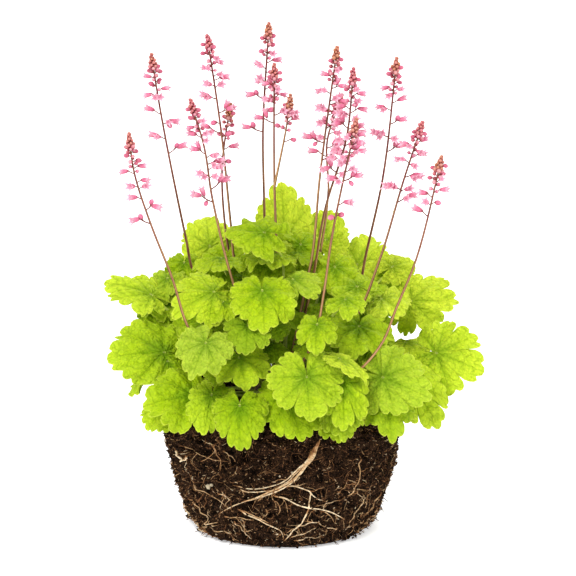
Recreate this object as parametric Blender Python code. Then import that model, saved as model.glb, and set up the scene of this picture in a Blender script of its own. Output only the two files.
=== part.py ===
"""A heuchera in full flower, lifted out of its pot with the root ball showing.

Tables and named sizes are in millimetres, and the scene is in metres. +Z is up, the front
faces -Y, and the origin is the middle of the root ball's flat underside. Every leaf, every
flower stem, the crown, the root ball and the thick surface roots are solids of their own.
"""

import bisect
import math

import bmesh
import bpy
from mathutils import Matrix, Vector

MM = 0.001
GAP = 0.4  # left between solids that touch in the real plant
FINE_STEPS = 24  # small steps that each span of a smooth curve is divided into

# Root ball: the soil kept the shape of a shallow pot, about 19 cm across at the rim.
BALL_HEIGHT = 108.0
BALL_PROFILE = ((0, 66), (4, 71), (14, 76.5), (36, 82.5), (62, 89), (88, 95), (101, 97), (107, 93))
BALL_TOP_RADIUS = 70.0
BALL_SIDES = 32
BALL_BUMP = 1.6

# Crown: the low woody stock in the middle of the soil that all the stalks rise from.
CROWN_RADIUS = 27.0
CROWN_HEIGHT = 22.0
CROWN_SIDES = 16
CROWN_RINGS = 10
CROWN_LUMP = 0.06

# Leaf: a blade of width 1 seen from its stalk joint, as angle from the tip and radius.
BLADE_HALF_OUTLINE = (
    (13, 0.60),
    (28, 0.49),
    (42, 0.55),
    (57, 0.55),
    (73, 0.45),
    (90, 0.51),
    (109, 0.48),
    (129, 0.42),
    (153, 0.44),
)
BLADE_TIP = 0.64
BLADE_NOTCH = 0.07
BLADE_THICKNESS = 0.8
BLADE_INNER_RING = 0.5
BLADE_ARCH = 0.30  # slope of the blade at its joint, relative to the line from joint to tip
BLADE_SIDE_FALL = 0.09  # how far each side bends down, as a share of the blade's width
STALK_RADIUS = 1.15
STALK_SWELL = 0.25  # how much thicker the stalk is at its foot, as a share of its radius
STALK_SIDES = 5
STALK_RINGS = 5
JOINT_RADIUS = 1.5
JOINT_DROP = 1.7  # from the blade's middle down to where its stalk begins

# Flower stem: a wiry stem, side branches up its bloom, and a head of buds at its tip.
STEM_SIDES = 5
STEM_FOOT_RADIUS = 1.3
STEM_TIP_RADIUS = 0.75
STEM_PLAIN_RINGS = 6
BRANCH_SPACING = 10.0
BRANCH_LONGEST = 11.0
BRANCH_SHORTEST = 2.6
BRANCH_RISE = 0.35  # slope of the branches
BRANCH_TWIG = 0.55
FLOWER_RADIUS = 2.6
FLOWER_LENGTH = 6.5
BUD_HEAD_LENGTH = 13.0
BUD_HEAD_RADIUS = 2.5

# name: joint (x, y, z), width, length from joint to tip, heading, droop, roll.
# Heading is the tip's bearing from +X, droop is how far the tip points below level,
# and roll turns the upper face about the tip's direction.
LEAVES = {
    "leaf_low_1": ((-69, -72, 125), 50, 40, -160, 4, -48),
    "leaf_low_2": ((-54, -92, 131), 34, 35, -103, 48, -12),
    "leaf_low_3": ((-32, -114, 128), 39, 35, -90, 53, 0),
    "leaf_low_4": ((5, -97, 130), 48, 42, -65, 51, 15),
    "leaf_low_5": ((46, -98, 130), 38, 37, -88, 50, 0),
    "leaf_low_6": ((79, -84, 127), 44, 36, -76, 46, 10),
    "leaf_low_7": ((101, -68, 133), 46, 44, -42, 46, 40),
    "leaf_low_8": ((104, 14, 128), 50, 38, 6, 45, 0),
    "leaf_low_9": ((84, 58, 133), 50, 38, 33, 55, 0),
    "leaf_low_10": ((42, 93, 131), 48, 37, 68, 58, 0),
    "leaf_low_11": ((2, 102, 134), 54, 38, 92, 55, 0),
    "leaf_low_12": ((-44, 92, 129), 50, 38, 116, 58, 0),
    "leaf_low_13": ((-84, 58, 136), 50, 37, 146, 50, 0),
    "leaf_low_14": ((-100, 20, 126), 50, 38, 168, 45, 0),
    "leaf_mid_1": ((-93, -40, 152), 59, 48, -166, 2, -44),
    "leaf_mid_2": ((-58, -102, 174), 43, 31, -119, 44, -25),
    "leaf_mid_3": ((-33, -80, 157), 46, 31, -73, 44, 5),
    "leaf_mid_4": ((19, -120, 152), 56, 35, -81, 62, 5),
    "leaf_mid_5": ((46, -110, 145), 40, 38, -86, 60, 0),
    "leaf_mid_6": ((78, -93, 145), 53, 44, -25, 18, 62),
    "leaf_mid_7": ((60, -62, 178), 50, 31, -104, 45, -12),
    "leaf_mid_8": ((122, -42, 152), 58, 43, -21, 17, 60),
    "leaf_mid_9": ((60, 70, 172), 54, 38, 52, 30, 0),
    "leaf_mid_10": ((8, 90, 176), 54, 38, 86, 34, 0),
    "leaf_mid_11": ((-46, 78, 172), 54, 38, 118, 32, 0),
    "leaf_mid_12": ((-86, 38, 160), 52, 38, 154, 28, 0),
    "leaf_high_1": ((-104, -10, 192), 36, 43, 157, -10, -30),
    "leaf_high_2": ((-53, -60, 205), 48, 38, -145, 18, -40),
    "leaf_high_3": ((-15, -75, 209), 49, 34, -85, 49, 0),
    "leaf_high_4": ((9, -46, 212), 38, 28, -48, 20, 25),
    "leaf_high_5": ((-48, -12, 222), 42, 27, -88, 18, 0),
    "leaf_high_6": ((79, -26, 192), 36, 29, -55, 12, 28),
    "leaf_high_7": ((104, 8, 183), 46, 40, -16, -3, 58),
    "leaf_high_8": ((-20, 70, 205), 50, 36, 104, 18, 0),
    "leaf_top_1": ((-59, 45, 221), 46, 34, 99, -39, -8),
    "leaf_top_2": ((-14, -34, 247), 42, 32, 162, 2, -30),
    "leaf_top_3": ((2, 50, 228), 50, 45, 98, -66, -5),
    "leaf_top_4": ((35, 64, 222), 38, 32, 78, -44, 10),
    "leaf_top_5": ((62, 68, 201), 42, 36, 60, -33, 25),
    "leaf_top_6": ((83, 36, 195), 42, 32, 40, -18, 38),
}

# name: points up the stem above the crown, and how much of its length below the tip blooms.
FLOWER_STEMS = {
    "flower_stem_1": (
        ((-70, -84, 179), (-84, -85, 222), (-100, -84, 264), (-112, -80, 302), (-116, -78, 332)),
        70,
    ),
    "flower_stem_2": (((-71, 15, 204), (-77, 18, 231), (-95, 20, 325), (-104, 22, 381)), 76),
    "flower_stem_3": (((-38, 11, 215), (-41, 11, 245), (-48, 8, 319), (-59, 8, 398)), 82),
    "flower_stem_4": (((-37, -42, 205), (-54, -46, 277), (-60, -46, 317), (-71, -42, 353)), 78),
    "flower_stem_5": (((-42, 32, 215), (-46, 30, 240), (-48, 26, 290), (-41, 24, 341)), 52),
    "flower_stem_6": (((-14, 16, 226), (-14, 14, 248), (-15, 10, 322), (-10, 8, 407)), 87),
    "flower_stem_7": (((-4, -10, 226), (-5, -10, 251), (-6, -10, 286), (-6, -10, 377)), 50),
    "flower_stem_9": (((21, -18, 210), (24, -20, 226), (30, -24, 292), (43, -26, 392)), 78),
    "flower_stem_10": (((24, -30, 208), (34, -40, 268), (50, -46, 324), (55, -48, 378)), 92),
    "flower_stem_11": (((27, -84, 180), (33, -82, 214), (38, -78, 250), (57, -76, 343)), 76),
    "flower_stem_12": (((29, 12, 214), (37, 10, 272), (36, 10, 313), (48, 10, 350)), 58),
    "flower_stem_13": (((61, -8, 196), (66, -6, 220), (80, -5, 287), (90, -5, 381)), 76),
    "flower_stem_14": (((56, -36, 175), (76, -52, 229), (94, -60, 294), (108, -64, 339)), 68),
    "flower_stem_15": (
        ((50, -73, 145), (61, -103, 155), (77, -98, 174), (87, -92, 198), (103, -82, 236), (122, -78, 315)),
        50,
    ),
}
# The second branch of the stem that forks, given the same way.
FORKED_STEM = "flower_stem_7"
FORK = (((-6, -10, 279), (-4, -12, 289), (4, -13, 330), (7, -13, 353)), 36)

# name: radius at each end, and points given as bearing round the ball and height on its side.
ROOTS = {
    "root_thick": (
        (2.2, 1.0),
        ((-74, 94), (-78, 76), (-84, 64), (-91, 55), (-100, 48), (-111, 42), (-127, 27)),
    ),
    "root_cross": ((1.2, 0.8), ((-94, 46), (-88, 44), (-80, 39), (-70, 35), (-61, 30), (-52, 22))),
    "root_fork": ((1.3, 0.8), ((-77, 33), (-80, 26), (-84, 17), (-89, 9))),
    "root_side": ((1.1, 0.7), ((-51, 78), (-50, 66), (-49, 54), (-51, 46), (-56, 41))),
}
ROOT_CLEARANCE = 1.0  # from the ball's facets to the root's near side
ROOT_RINGS = 10


def clear_scene():
    for old in list(bpy.data.objects):
        bpy.data.objects.remove(old, do_unlink=True)


def make_material(name, colour, roughness):
    material = bpy.data.materials.new(name)
    material.use_nodes = True
    shader = material.node_tree.nodes["Principled BSDF"]
    shader.inputs["Base Color"].default_value = (*colour, 1.0)
    shader.inputs["Roughness"].default_value = roughness
    shader.inputs["Metallic"].default_value = 0.0
    return material


def add_object(name, data, material, parent=None):
    data.materials.append(material)
    solid = bpy.data.objects.new(name, data)
    bpy.context.scene.collection.objects.link(solid)
    solid.parent = parent
    return solid


def add_solid(name, bm, material, parent=None):
    """Turns a bmesh in millimetres into the named object, in metres and shaded smooth."""
    bmesh.ops.scale(bm, vec=(MM, MM, MM), verts=bm.verts)
    bmesh.ops.recalc_face_normals(bm, faces=bm.faces)
    if bm.calc_volume(signed=True) < 0:
        bmesh.ops.reverse_faces(bm, faces=bm.faces)
    mesh = bpy.data.meshes.new(name)
    bm.to_mesh(mesh)
    bm.free()
    mesh.shade_smooth()
    mesh.set_sharp_from_angle(angle=math.radians(50))
    return add_object(name, mesh, material, parent)


def on_bearing(degrees, radius, height):
    angle = math.radians(degrees)
    return Vector((radius * math.cos(angle), radius * math.sin(angle), height))


# Curves and tubes


def slope_at(points, i):
    """The travel per millimetre at a point of a path, from the spans on both sides of it."""
    spans = []
    if i > 0:
        spans.append((points[i] - points[i - 1]).normalized())
    if i < len(points) - 1:
        spans.append((points[i + 1] - points[i]).normalized())
    return sum(spans, Vector()) / len(spans)


def smooth_path(points):
    """A finely divided smooth curve through the points, and the distance travelled at each."""
    fine = [points[0]]
    for i in range(len(points) - 1):
        start, end = points[i], points[i + 1]
        reach = (end - start).length
        leave, arrive = slope_at(points, i) * reach, slope_at(points, i + 1) * reach
        corners = (start, start + leave / 3, end - arrive / 3, end)
        fine += [point_on_bezier(corners, k / FINE_STEPS) for k in range(1, FINE_STEPS + 1)]
    travelled = [0.0]
    for a, b in zip(fine, fine[1:]):
        travelled.append(travelled[-1] + (b - a).length)
    return fine, travelled


def point_at(fine, travelled, place):
    """The point of a finely divided path at a distance along it."""
    k = min(bisect.bisect_left(travelled, place), len(fine) - 1)
    if k == 0:
        return fine[0].copy()
    share = (place - travelled[k - 1]) / (travelled[k] - travelled[k - 1])
    return fine[k - 1].lerp(fine[k], min(share, 1.0))


def point_on_bezier(corners, t):
    a, b, c, d = corners
    u = 1 - t
    return u**3 * a + 3 * u * u * t * b + 3 * u * t * t * c + t**3 * d


def directions_along(points):
    """The direction of travel at each point of a path."""
    last = len(points) - 1
    return [(points[min(i + 1, last)] - points[max(i - 1, 0)]).normalized() for i in range(last + 1)]


def add_tube_rings(bm, points, radii, sides, side_axis):
    """Rings of vertices square to the path, each turned as little as possible from the last."""
    rings = []
    across = side_axis
    for point, travel, radius in zip(points, directions_along(points), radii):
        across = (across - travel * across.dot(travel)).normalized()
        up = travel.cross(across)
        ring = []
        for k in range(sides):
            angle = math.tau * k / sides
            offset = up * math.cos(angle) + across * math.sin(angle)
            ring.append(bm.verts.new(point + offset * radius))
        rings.append(ring)
    return rings


def bridge(bm, first, second):
    """Quads between two rings with as many vertices each."""
    count = len(first)
    return [
        bm.faces.new((first[k], first[(k + 1) % count], second[(k + 1) % count], second[k]))
        for k in range(count)
    ]


# Root ball and crown


def ball_radius(bearing, height):
    """The root ball's radius at a bearing in degrees and a height on its side, bumps included."""
    heights = [h for h, _ in BALL_PROFILE]
    i = max(k for k in range(len(heights) - 1) if heights[k] <= max(height, 0.0))
    (low, low_radius), (high, high_radius) = BALL_PROFILE[i], BALL_PROFILE[i + 1]
    share = min((height - low) / (high - low), 1.0)
    radius = low_radius + (high_radius - low_radius) * share
    angle = math.radians(bearing)
    bump = math.sin(3 * angle + height / 19) + 0.6 * math.sin(7 * angle - height / 13 + 1.0)
    return radius + BALL_BUMP * bump * min(height / 20, 1.0)


def build_root_ball(material):
    """The profile is spun round the axis, bumps are pushed out of it, and both ends are closed."""
    bm = bmesh.new()
    profile = [*BALL_PROFILE, (BALL_HEIGHT, BALL_TOP_RADIUS)]
    corners = [bm.verts.new((radius, 0, height)) for height, radius in profile]
    edges = [bm.edges.new(pair) for pair in zip(corners, corners[1:])]
    bmesh.ops.spin(
        bm,
        geom=corners + edges,
        cent=(0, 0, 0),
        axis=(0, 0, 1),
        angle=math.tau,
        steps=BALL_SIDES,
        use_merge=True,
    )
    for vert in bm.verts:
        if vert.co.z < BALL_HEIGHT:
            bearing = math.degrees(math.atan2(vert.co.y, vert.co.x))
            vert.co = on_bearing(bearing, ball_radius(bearing, vert.co.z), vert.co.z)
    bmesh.ops.holes_fill(bm, edges=bm.edges, sides=BALL_SIDES)
    return add_solid("root_ball", bm, material)


def crown_point(bearing, rise, clearance=0.0):
    """A point on the crown's dome, where rise is the angle above the soil."""
    lump = 1 + CROWN_LUMP * math.sin(math.radians(5 * bearing)) * math.cos(math.radians(rise))
    across = (CROWN_RADIUS * lump + clearance) * math.cos(math.radians(rise))
    up = (CROWN_HEIGHT + clearance) * math.sin(math.radians(rise))
    return on_bearing(bearing, across, BALL_HEIGHT + GAP + up)


def build_crown(material):
    """The upper half of a sphere, flattened and made lumpy."""
    bm = bmesh.new()
    bmesh.ops.create_uvsphere(bm, u_segments=CROWN_SIDES, v_segments=CROWN_RINGS, radius=1)
    geometry = [*bm.verts, *bm.edges, *bm.faces]
    bmesh.ops.bisect_plane(bm, geom=geometry, plane_co=(0, 0, 0), plane_no=(0, 0, 1), clear_inner=True)
    bmesh.ops.holes_fill(bm, edges=bm.edges, sides=CROWN_SIDES)
    for vert in bm.verts:
        bearing = math.degrees(math.atan2(vert.co.y, vert.co.x))
        rise = math.degrees(math.asin(min(max(vert.co.z, 0.0), 1.0)))
        vert.co = crown_point(bearing, rise)
    return add_solid("crown", bm, material)


def foot_on_crown(target):
    """Where a stalk or stem that leads to target leaves the crown, and the way it points there."""
    bearing = math.degrees(math.atan2(target.y, target.x))
    rise = math.degrees(math.atan2(target.z - BALL_HEIGHT, math.hypot(target.x, target.y)))
    foot = crown_point(bearing, rise, 2 * GAP)
    outward = (target - Vector((0, 0, BALL_HEIGHT))).normalized()
    return foot, outward


# Leaves


def blade_outline():
    """(forward, sideways) of the blade's edge, for a blade of width 1, starting at the tip."""
    left = [(radius, math.radians(angle)) for angle, radius in BLADE_HALF_OUTLINE]
    right = [(radius, -angle) for radius, angle in reversed(left)]
    around = [(BLADE_TIP, 0.0), *left, (BLADE_NOTCH, math.pi), *right]
    return [(radius * math.cos(angle), radius * math.sin(angle)) for radius, angle in around]


def leaf_placement(joint, heading, droop, roll):
    """Places a leaf whose own +X points to its tip and whose own +Z is its upper face's normal."""
    turn = Matrix.Rotation(math.radians(heading), 4, "Z")
    tilt = Matrix.Rotation(math.radians(droop), 4, "Y")
    spin = Matrix.Rotation(math.radians(roll), 4, "X")
    return Matrix.Translation(joint) @ turn @ tilt @ spin


def blade_point(ahead, aside, lift, width, length):
    """A point of the blade in the leaf's own frame, from its place in the flat outline."""
    reach = ahead * width * (length / (BLADE_TIP * width) if ahead > 0 else 1.0)
    arch = BLADE_ARCH * reach * (1 - reach / length)
    fall = BLADE_SIDE_FALL * width * (2 * aside) ** 2
    return Vector((reach, aside * width, lift + arch - fall))


def add_blade(bm, width, length):
    """The blade with its middle open underneath, and the ring of vertices round that opening."""
    half = BLADE_THICKNESS / 2
    rings = []
    for share, lift in ((BLADE_INNER_RING, half), (1, half), (1, -half), (BLADE_INNER_RING, -half)):
        points = [blade_point(x * share, y * share, lift, width, length) for x, y in blade_outline()]
        rings.append([bm.verts.new(point) for point in points])
    for first, second in zip(rings, rings[1:]):
        bridge(bm, first, second)
    middle = bm.verts.new(blade_point(0, 0, half, width, length))
    for k, vert in enumerate(rings[0]):
        bm.faces.new((middle, vert, rings[0][(k + 1) % len(rings[0])]))
    return rings[-1]


def add_stalk(bm, foot, outward, opening):
    """The stalk from the blade down to its foot, closing the opening under the blade."""
    end = Vector((0, 0, -JOINT_DROP))
    arrive = Vector((0.72, 0, 0.7))
    span = (end - foot).length
    corners = (foot, foot + outward * 0.38 * span, end - arrive * 0.3 * span, end)
    path = [point_on_bezier(corners, 1 - k / STALK_RINGS) for k in range(STALK_RINGS + 1)]
    radii = [STALK_RADIUS * (1 + STALK_SWELL * k / STALK_RINGS) for k in range(STALK_RINGS + 1)]
    rings = add_tube_rings(bm, path, radii, STALK_SIDES, Vector((0, 1, 0)))
    for k, vert in enumerate(rings[0]):
        angle = math.tau * k / STALK_SIDES
        vert.co = end + Vector((math.cos(angle), math.sin(angle), 0)) * JOINT_RADIUS
    step = len(opening) // STALK_SIDES
    for k, vert in enumerate(opening):
        following = opening[(k + 1) % len(opening)]
        corner = rings[0][((k + step // 2) // step) % STALK_SIDES]
        next_corner = rings[0][((k + 1 + step // 2) // step) % STALK_SIDES]
        bm.faces.new((vert, following, corner))
        if next_corner is not corner:
            bm.faces.new((following, next_corner, corner))
    for high, low in zip(rings, rings[1:]):
        bridge(bm, high, low)
    bm.faces.new(rings[-1])


def build_leaf(name, joint, width, length, heading, droop, roll, material, parent):
    placement = leaf_placement(Vector(joint), heading, droop, roll)
    foot, outward = foot_on_crown(Vector(joint))
    into_leaf = placement.inverted()
    bm = bmesh.new()
    opening = add_blade(bm, width, length)
    outward = into_leaf.to_3x3() @ (outward + Vector((0, 0, 0.3)))
    add_stalk(bm, into_leaf @ foot, outward, opening)
    leaf = add_solid(name, bm, material, parent)
    leaf.location = Vector(joint) * MM
    leaf.rotation_euler = placement.to_euler()
    return leaf


# Flower stems


def stem_rings(length, bloom):
    """Distances up a stem of its rings, and which gaps between them carry a side branch."""
    start = length - bloom
    places = [start * k / STEM_PLAIN_RINGS for k in range(STEM_PLAIN_RINGS)]
    branches = []
    place = start
    while place < length - BUD_HEAD_LENGTH - 3.0:
        branches.append(len(places))
        places += [place, place + 2.4]
        place += BRANCH_SPACING
    head = length - BUD_HEAD_LENGTH
    places += [head, head + 0.35 * BUD_HEAD_LENGTH, head + 0.7 * BUD_HEAD_LENGTH, length]
    return places, branches


def stem_radius(place, length):
    """The stem tapers up to its head of buds, which is a narrow spindle."""
    head = length - BUD_HEAD_LENGTH
    if place <= head + 0.01:
        return STEM_FOOT_RADIUS + (STEM_TIP_RADIUS - STEM_FOOT_RADIUS) * place / head
    share = (place - head) / BUD_HEAD_LENGTH
    return BUD_HEAD_RADIUS * (1 - 0.15 * share if share < 0.9 else 0.4)


def grow_branch(bm, face, length):
    """Draws a face of the stem out into a twig with a bell-shaped cluster at its end."""
    direction = (face.normal + Vector((0, 0, BRANCH_RISE))).normalized()
    steps = (
        (length, BRANCH_TWIG),
        (FLOWER_LENGTH * 0.45, FLOWER_RADIUS),
        (FLOWER_LENGTH * 0.55, FLOWER_RADIUS * 0.8),
    )
    for forward, radius in steps:
        face = bmesh.ops.extrude_discrete_faces(bm, faces=[face])["faces"][0]
        old_centre = face.calc_center_median()
        for vert in face.verts:
            spoke = (vert.co - old_centre).normalized()
            vert.co = old_centre + direction * forward + spoke * radius


def build_stem(name, points, bloom, material, parent):
    fine, travelled = smooth_path(points)
    whole = travelled[-1]
    places, branches = stem_rings(whole, bloom)
    bm = bmesh.new()
    path = [point_at(fine, travelled, place) for place in places]
    radii = [stem_radius(place, whole) for place in places]
    rings = add_tube_rings(bm, path, radii, STEM_SIDES, Vector((1, 0, 0)))
    bands = [bridge(bm, low, high) for low, high in zip(rings, rings[1:])]
    bm.faces.new(list(reversed(rings[0])))
    bm.faces.new(rings[-1])
    bmesh.ops.recalc_face_normals(bm, faces=bm.faces)
    for number, band in enumerate(branches):
        share = number / max(len(branches) - 1, 1)
        length = BRANCH_LONGEST + (BRANCH_SHORTEST - BRANCH_LONGEST) * share
        grow_branch(bm, bands[band][(2 * number) % STEM_SIDES], length)
    return add_solid(name, bm, material, parent)


def build_flower_stem(name, points, bloom, material, parent):
    points = [Vector(point) for point in points]
    foot, _ = foot_on_crown(points[0])
    return build_stem(name, [foot, *points], bloom, material, parent)


def join_fork(stem, material, parent):
    points, bloom = FORK
    points = [Vector(point) for point in points]
    fork = build_stem("fork_of_stem", points, bloom, material, parent)
    fork.hide_render = True
    fork.display_type = "WIRE"
    join = stem.modifiers.new("fork", "BOOLEAN")
    join.operation = "UNION"
    join.solver = "EXACT"
    join.object = fork


# Surface roots


def build_root(name, radii, route, material, parent):
    """A round tapered curve that follows the side of the root ball."""
    start_radius, end_radius = radii
    rise = start_radius + ROOT_CLEARANCE
    fine, travelled = smooth_path([on_bearing(b, ball_radius(b, h) + rise, h) for b, h in route])
    curve = bpy.data.curves.new(name, "CURVE")
    curve.dimensions = "3D"
    curve.bevel_depth = start_radius * MM
    curve.bevel_resolution = 1
    curve.use_fill_caps = True
    spline = curve.splines.new("POLY")
    spline.points.add(ROOT_RINGS)
    for k, point in enumerate(spline.points):
        share = k / ROOT_RINGS
        point.co = (*(point_at(fine, travelled, share * travelled[-1]) * MM), 1)
        point.radius = 1 + (end_radius / start_radius - 1) * share
    return add_object(name, curve, material, parent)


def main():
    clear_scene()
    soil = make_material("soil", (0.055, 0.034, 0.022), 0.95)
    wood = make_material("crown_wood", (0.16, 0.10, 0.05), 0.85)
    straw = make_material("root_straw", (0.52, 0.36, 0.20), 0.8)
    green = make_material("leaf_green", (0.42, 0.62, 0.06), 0.5)
    pink = make_material("flower_pink", (0.80, 0.28, 0.38), 0.55)

    root_ball = build_root_ball(soil)
    crown = build_crown(wood)
    crown.parent = root_ball
    for name, (radii, route) in ROOTS.items():
        build_root(name, radii, route, straw, root_ball)
    for name, leaf in LEAVES.items():
        build_leaf(name, *leaf, green, crown)
    for name, (points, bloom) in FLOWER_STEMS.items():
        stem = build_flower_stem(name, points, bloom, pink, crown)
        if name == FORKED_STEM:
            join_fork(stem, pink, crown)


main()
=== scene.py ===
# A heuchera in full flower, lifted out of its pot with the root ball showing.
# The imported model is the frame: every piece below is worked out in its millimetres,
# +Z up and the front facing -Y, and is written to its mesh in metres.
import math
import re

import bpy
import numpy as np
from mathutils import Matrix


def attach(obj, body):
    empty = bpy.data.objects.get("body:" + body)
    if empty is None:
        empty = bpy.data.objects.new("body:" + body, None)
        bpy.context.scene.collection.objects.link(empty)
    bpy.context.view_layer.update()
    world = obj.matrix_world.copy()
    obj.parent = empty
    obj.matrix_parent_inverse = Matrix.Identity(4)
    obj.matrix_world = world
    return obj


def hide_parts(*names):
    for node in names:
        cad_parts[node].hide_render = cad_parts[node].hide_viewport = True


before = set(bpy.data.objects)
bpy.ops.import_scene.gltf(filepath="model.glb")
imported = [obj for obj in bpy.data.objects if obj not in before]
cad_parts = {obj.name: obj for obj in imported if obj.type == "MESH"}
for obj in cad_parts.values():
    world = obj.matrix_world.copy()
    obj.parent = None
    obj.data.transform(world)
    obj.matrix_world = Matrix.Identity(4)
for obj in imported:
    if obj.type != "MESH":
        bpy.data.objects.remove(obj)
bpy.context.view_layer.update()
print("frame loaded:", len(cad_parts), "nodes")

mm = 0.001
blank = (0.0, 0.0, 0.0)
upward = np.array([0, 0, 1.0])


# Small vector tools

def unit(vectors):
    # each vector divided by its own length
    return vectors / np.maximum(np.linalg.norm(vectors, axis=-1, keepdims=True), 1e-9)


def threes(x, y=0.0, z=0.0):
    # three numbers or arrays side by side, as a place or as a vertex mark
    return np.stack(np.broadcast_arrays(x, y, z), axis=-1)


def onBearing(degrees, radius, height):
    # a point at a bearing from +X, a distance from the axis and a height
    angle = np.radians(degrees)
    return threes(radius * np.cos(angle), radius * np.sin(angle), height)


def smoothStep(low, high, value):
    # 0 below low, 1 above high, and an S between
    t = np.clip((value - low) / (high - low), 0, 1)
    return t * t * (3 - 2 * t)


def cellNumber(cells, seed):
    # a repeatable number from 0 to 1 for each whole-numbered cell, from its stirred bits
    c = cells.astype(np.uint64)
    whole = np.uint64(0xFFFFFFFF)
    h = c[..., 0] * np.uint64(374761393) + c[..., 1] * np.uint64(668265263)
    h = (h + c[..., 2] * np.uint64(2246822519) + np.uint64(seed * 3266489917)) & whole
    for shift, stir in ((13, 1274126177), (15, 2654435761)):
        h = ((h ^ (h >> np.uint64(shift))) * np.uint64(stir)) & whole
    return (h ^ (h >> np.uint64(16))) / 4294967296.0


def cellNoise(points, size, seed):
    # from -1 to 1: the numbers at the eight corners of a point's cell, mixed by how near each is
    place = points / size + 1000.0
    cell = np.floor(place)
    part = place - cell
    part = part * part * (3 - 2 * part)
    total = 0.0
    for corner in range(8):
        step = np.array([corner & 1, corner >> 1 & 1, corner >> 2 & 1])
        weight = np.prod(np.where(step, part, 1 - part), axis=-1)
        total = total + weight * cellNumber(cell.astype(np.int64) + step, seed)
    return total * 2 - 1


def bezier(a, b, c, d, t):
    # from a to d, leaving towards b and arriving from c
    u = 1 - t
    return u**3 * a + 3 * u * u * t * b + 3 * u * t * t * c + t**3 * d


# Meshes

def closedGrid(rings, first, last):
    # rings (rows, columns, 3) with a middle point closing the first row and another the last
    # one. The faces are turned round if the volume that they close comes out negative
    rows, columns = rings.shape[:2]
    points = np.concatenate([rings.reshape(-1, 3), [first], [last]])
    row = np.arange(rows - 1)[:, None] * columns
    column = np.arange(columns)
    following = (column + 1) % columns
    corners = [row + column, row + following, row + columns + following, row + columns + column]
    quads = np.stack(corners, axis=-1).reshape(-1, 4)
    middle, top = rows * columns, (rows - 1) * columns
    low = threes(middle, following, column)
    high = threes(middle + 1, top + column, top + following)
    tris = np.concatenate([low, high])
    corners = np.concatenate([quads[:, [0, 1, 2]], quads[:, [0, 2, 3]], tris])
    volume = np.linalg.det(points[corners] - points[corners[0, 0]]).sum()
    turn = 1 if volume > 0 else -1
    return points, quads[:, ::turn], tris[:, ::turn]


def copied(count, perCopy, *groups):
    # the faces of one shape repeated for each of count copies of its points
    shift = np.arange(count)[:, None, None] * perCopy
    return [(faces[None] + shift).reshape(-1, faces.shape[-1]) for faces in groups]


def tubes(paths, radii, sides, reference):
    # closed tubes: a ring of sides round each point of each path, square to its travel, where
    # reference is a direction never along the path. paths (n, m, 3), radii (n, m). Also gives
    # how far along its tube each point is, from 0 to 1
    count, steps = paths.shape[:2]
    travel = np.empty_like(paths)
    travel[:, 1:-1] = paths[:, 2:] - paths[:, :-2]
    travel[:, 0] = paths[:, 1] - paths[:, 0]
    travel[:, -1] = paths[:, -1] - paths[:, -2]
    travel = unit(travel)
    across = unit(np.cross(np.broadcast_to(reference, paths.shape), travel))
    up = np.cross(travel, across)
    angle = np.arange(sides) * math.tau / sides
    spokes = across[:, :, None] * np.cos(angle)[:, None] + up[:, :, None] * np.sin(angle)[:, None]
    rings = paths[:, :, None] + spokes * radii[:, :, None, None]
    _, quads, tris = closedGrid(rings[0], paths[0, 0], paths[0, -1])
    ends = np.stack([paths[:, 0], paths[:, -1]], axis=1)
    points = np.concatenate([rings.reshape(count, -1, 3), ends], axis=1)
    along = np.append(np.repeat(np.linspace(0, 1, steps), sides), [0, 1])
    return points.reshape(-1, 3), *copied(count, len(along), quads, tris), np.tile(along, count)


class Piece:
    # gathers the surfaces of one piece, then makes its mesh and hangs it on the frame
    def __init__(self, name):
        self.name = name
        self.points, self.faces, self.skins, self.marks = [], [], [], {}
        self.count = 0

    def addFaces(self, start, skin, *groups):
        # faces by the numbers of their points, counted from start
        for faces in groups:
            self.faces += (faces + start).tolist()
            self.skins += [skin] * len(faces)

    def add(self, points, quads, tris, skin, **marks):
        # skin is the number of the faces' material, and each mark is three values for a point
        self.addFaces(self.count, skin, quads, tris)
        self.points.append(points)
        for mark, values in marks.items():
            values = np.broadcast_to(np.asarray(values, dtype=float), (len(points), 3))
            self.marks.setdefault(mark, []).append(values)
        self.count += len(points)

    def make(self, materials, nodes=(), sharp=50):
        mesh = bpy.data.meshes.new(self.name)
        points = np.concatenate(self.points) * mm
        mesh.from_pydata(points, [], self.faces)
        for material in materials:
            mesh.materials.append(material)
        mesh.polygons.foreach_set("material_index", self.skins)
        for mark, values in self.marks.items():
            layer = mesh.attributes.new(mark, "FLOAT_VECTOR", "POINT")
            layer.data.foreach_set("vector", np.concatenate(values).ravel())
        mesh.shade_smooth()
        mesh.set_sharp_from_angle(angle=math.radians(sharp))
        mesh.validate()
        piece = bpy.data.objects.new(self.name, mesh)
        bpy.context.scene.collection.objects.link(piece)
        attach(piece, "root")
        if nodes:
            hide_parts(*nodes)


# Material tools

def join(tree, node, inputs):
    # each input given a value, or linked where the value is another node's output
    for key, value in inputs.items():
        if isinstance(value, bpy.types.NodeSocket):
            tree.links.new(value, node.inputs[key])
        else:
            node.inputs[key].default_value = value
    return node


def addNode(tree, kind, inputs=(), **settings):
    node = tree.nodes.new(kind)
    for key, value in settings.items():
        setattr(node, key, value)
    return join(tree, node, dict(inputs))


def sums(tree, operation, *values):
    return addNode(tree, "ShaderNodeMath", enumerate(values), operation=operation).outputs[0]


def plus(tree, first, second):
    return sums(tree, "ADD", first, second)


def minus(tree, first, second):
    return sums(tree, "SUBTRACT", first, second)


def times(tree, first, second):
    return sums(tree, "MULTIPLY", first, second)


def fromHalf(tree, value):
    # how far a value is from the middle between two whole numbers
    return sums(tree, "ABSOLUTE", minus(tree, sums(tree, "FRACT", value), 0.5))


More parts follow.
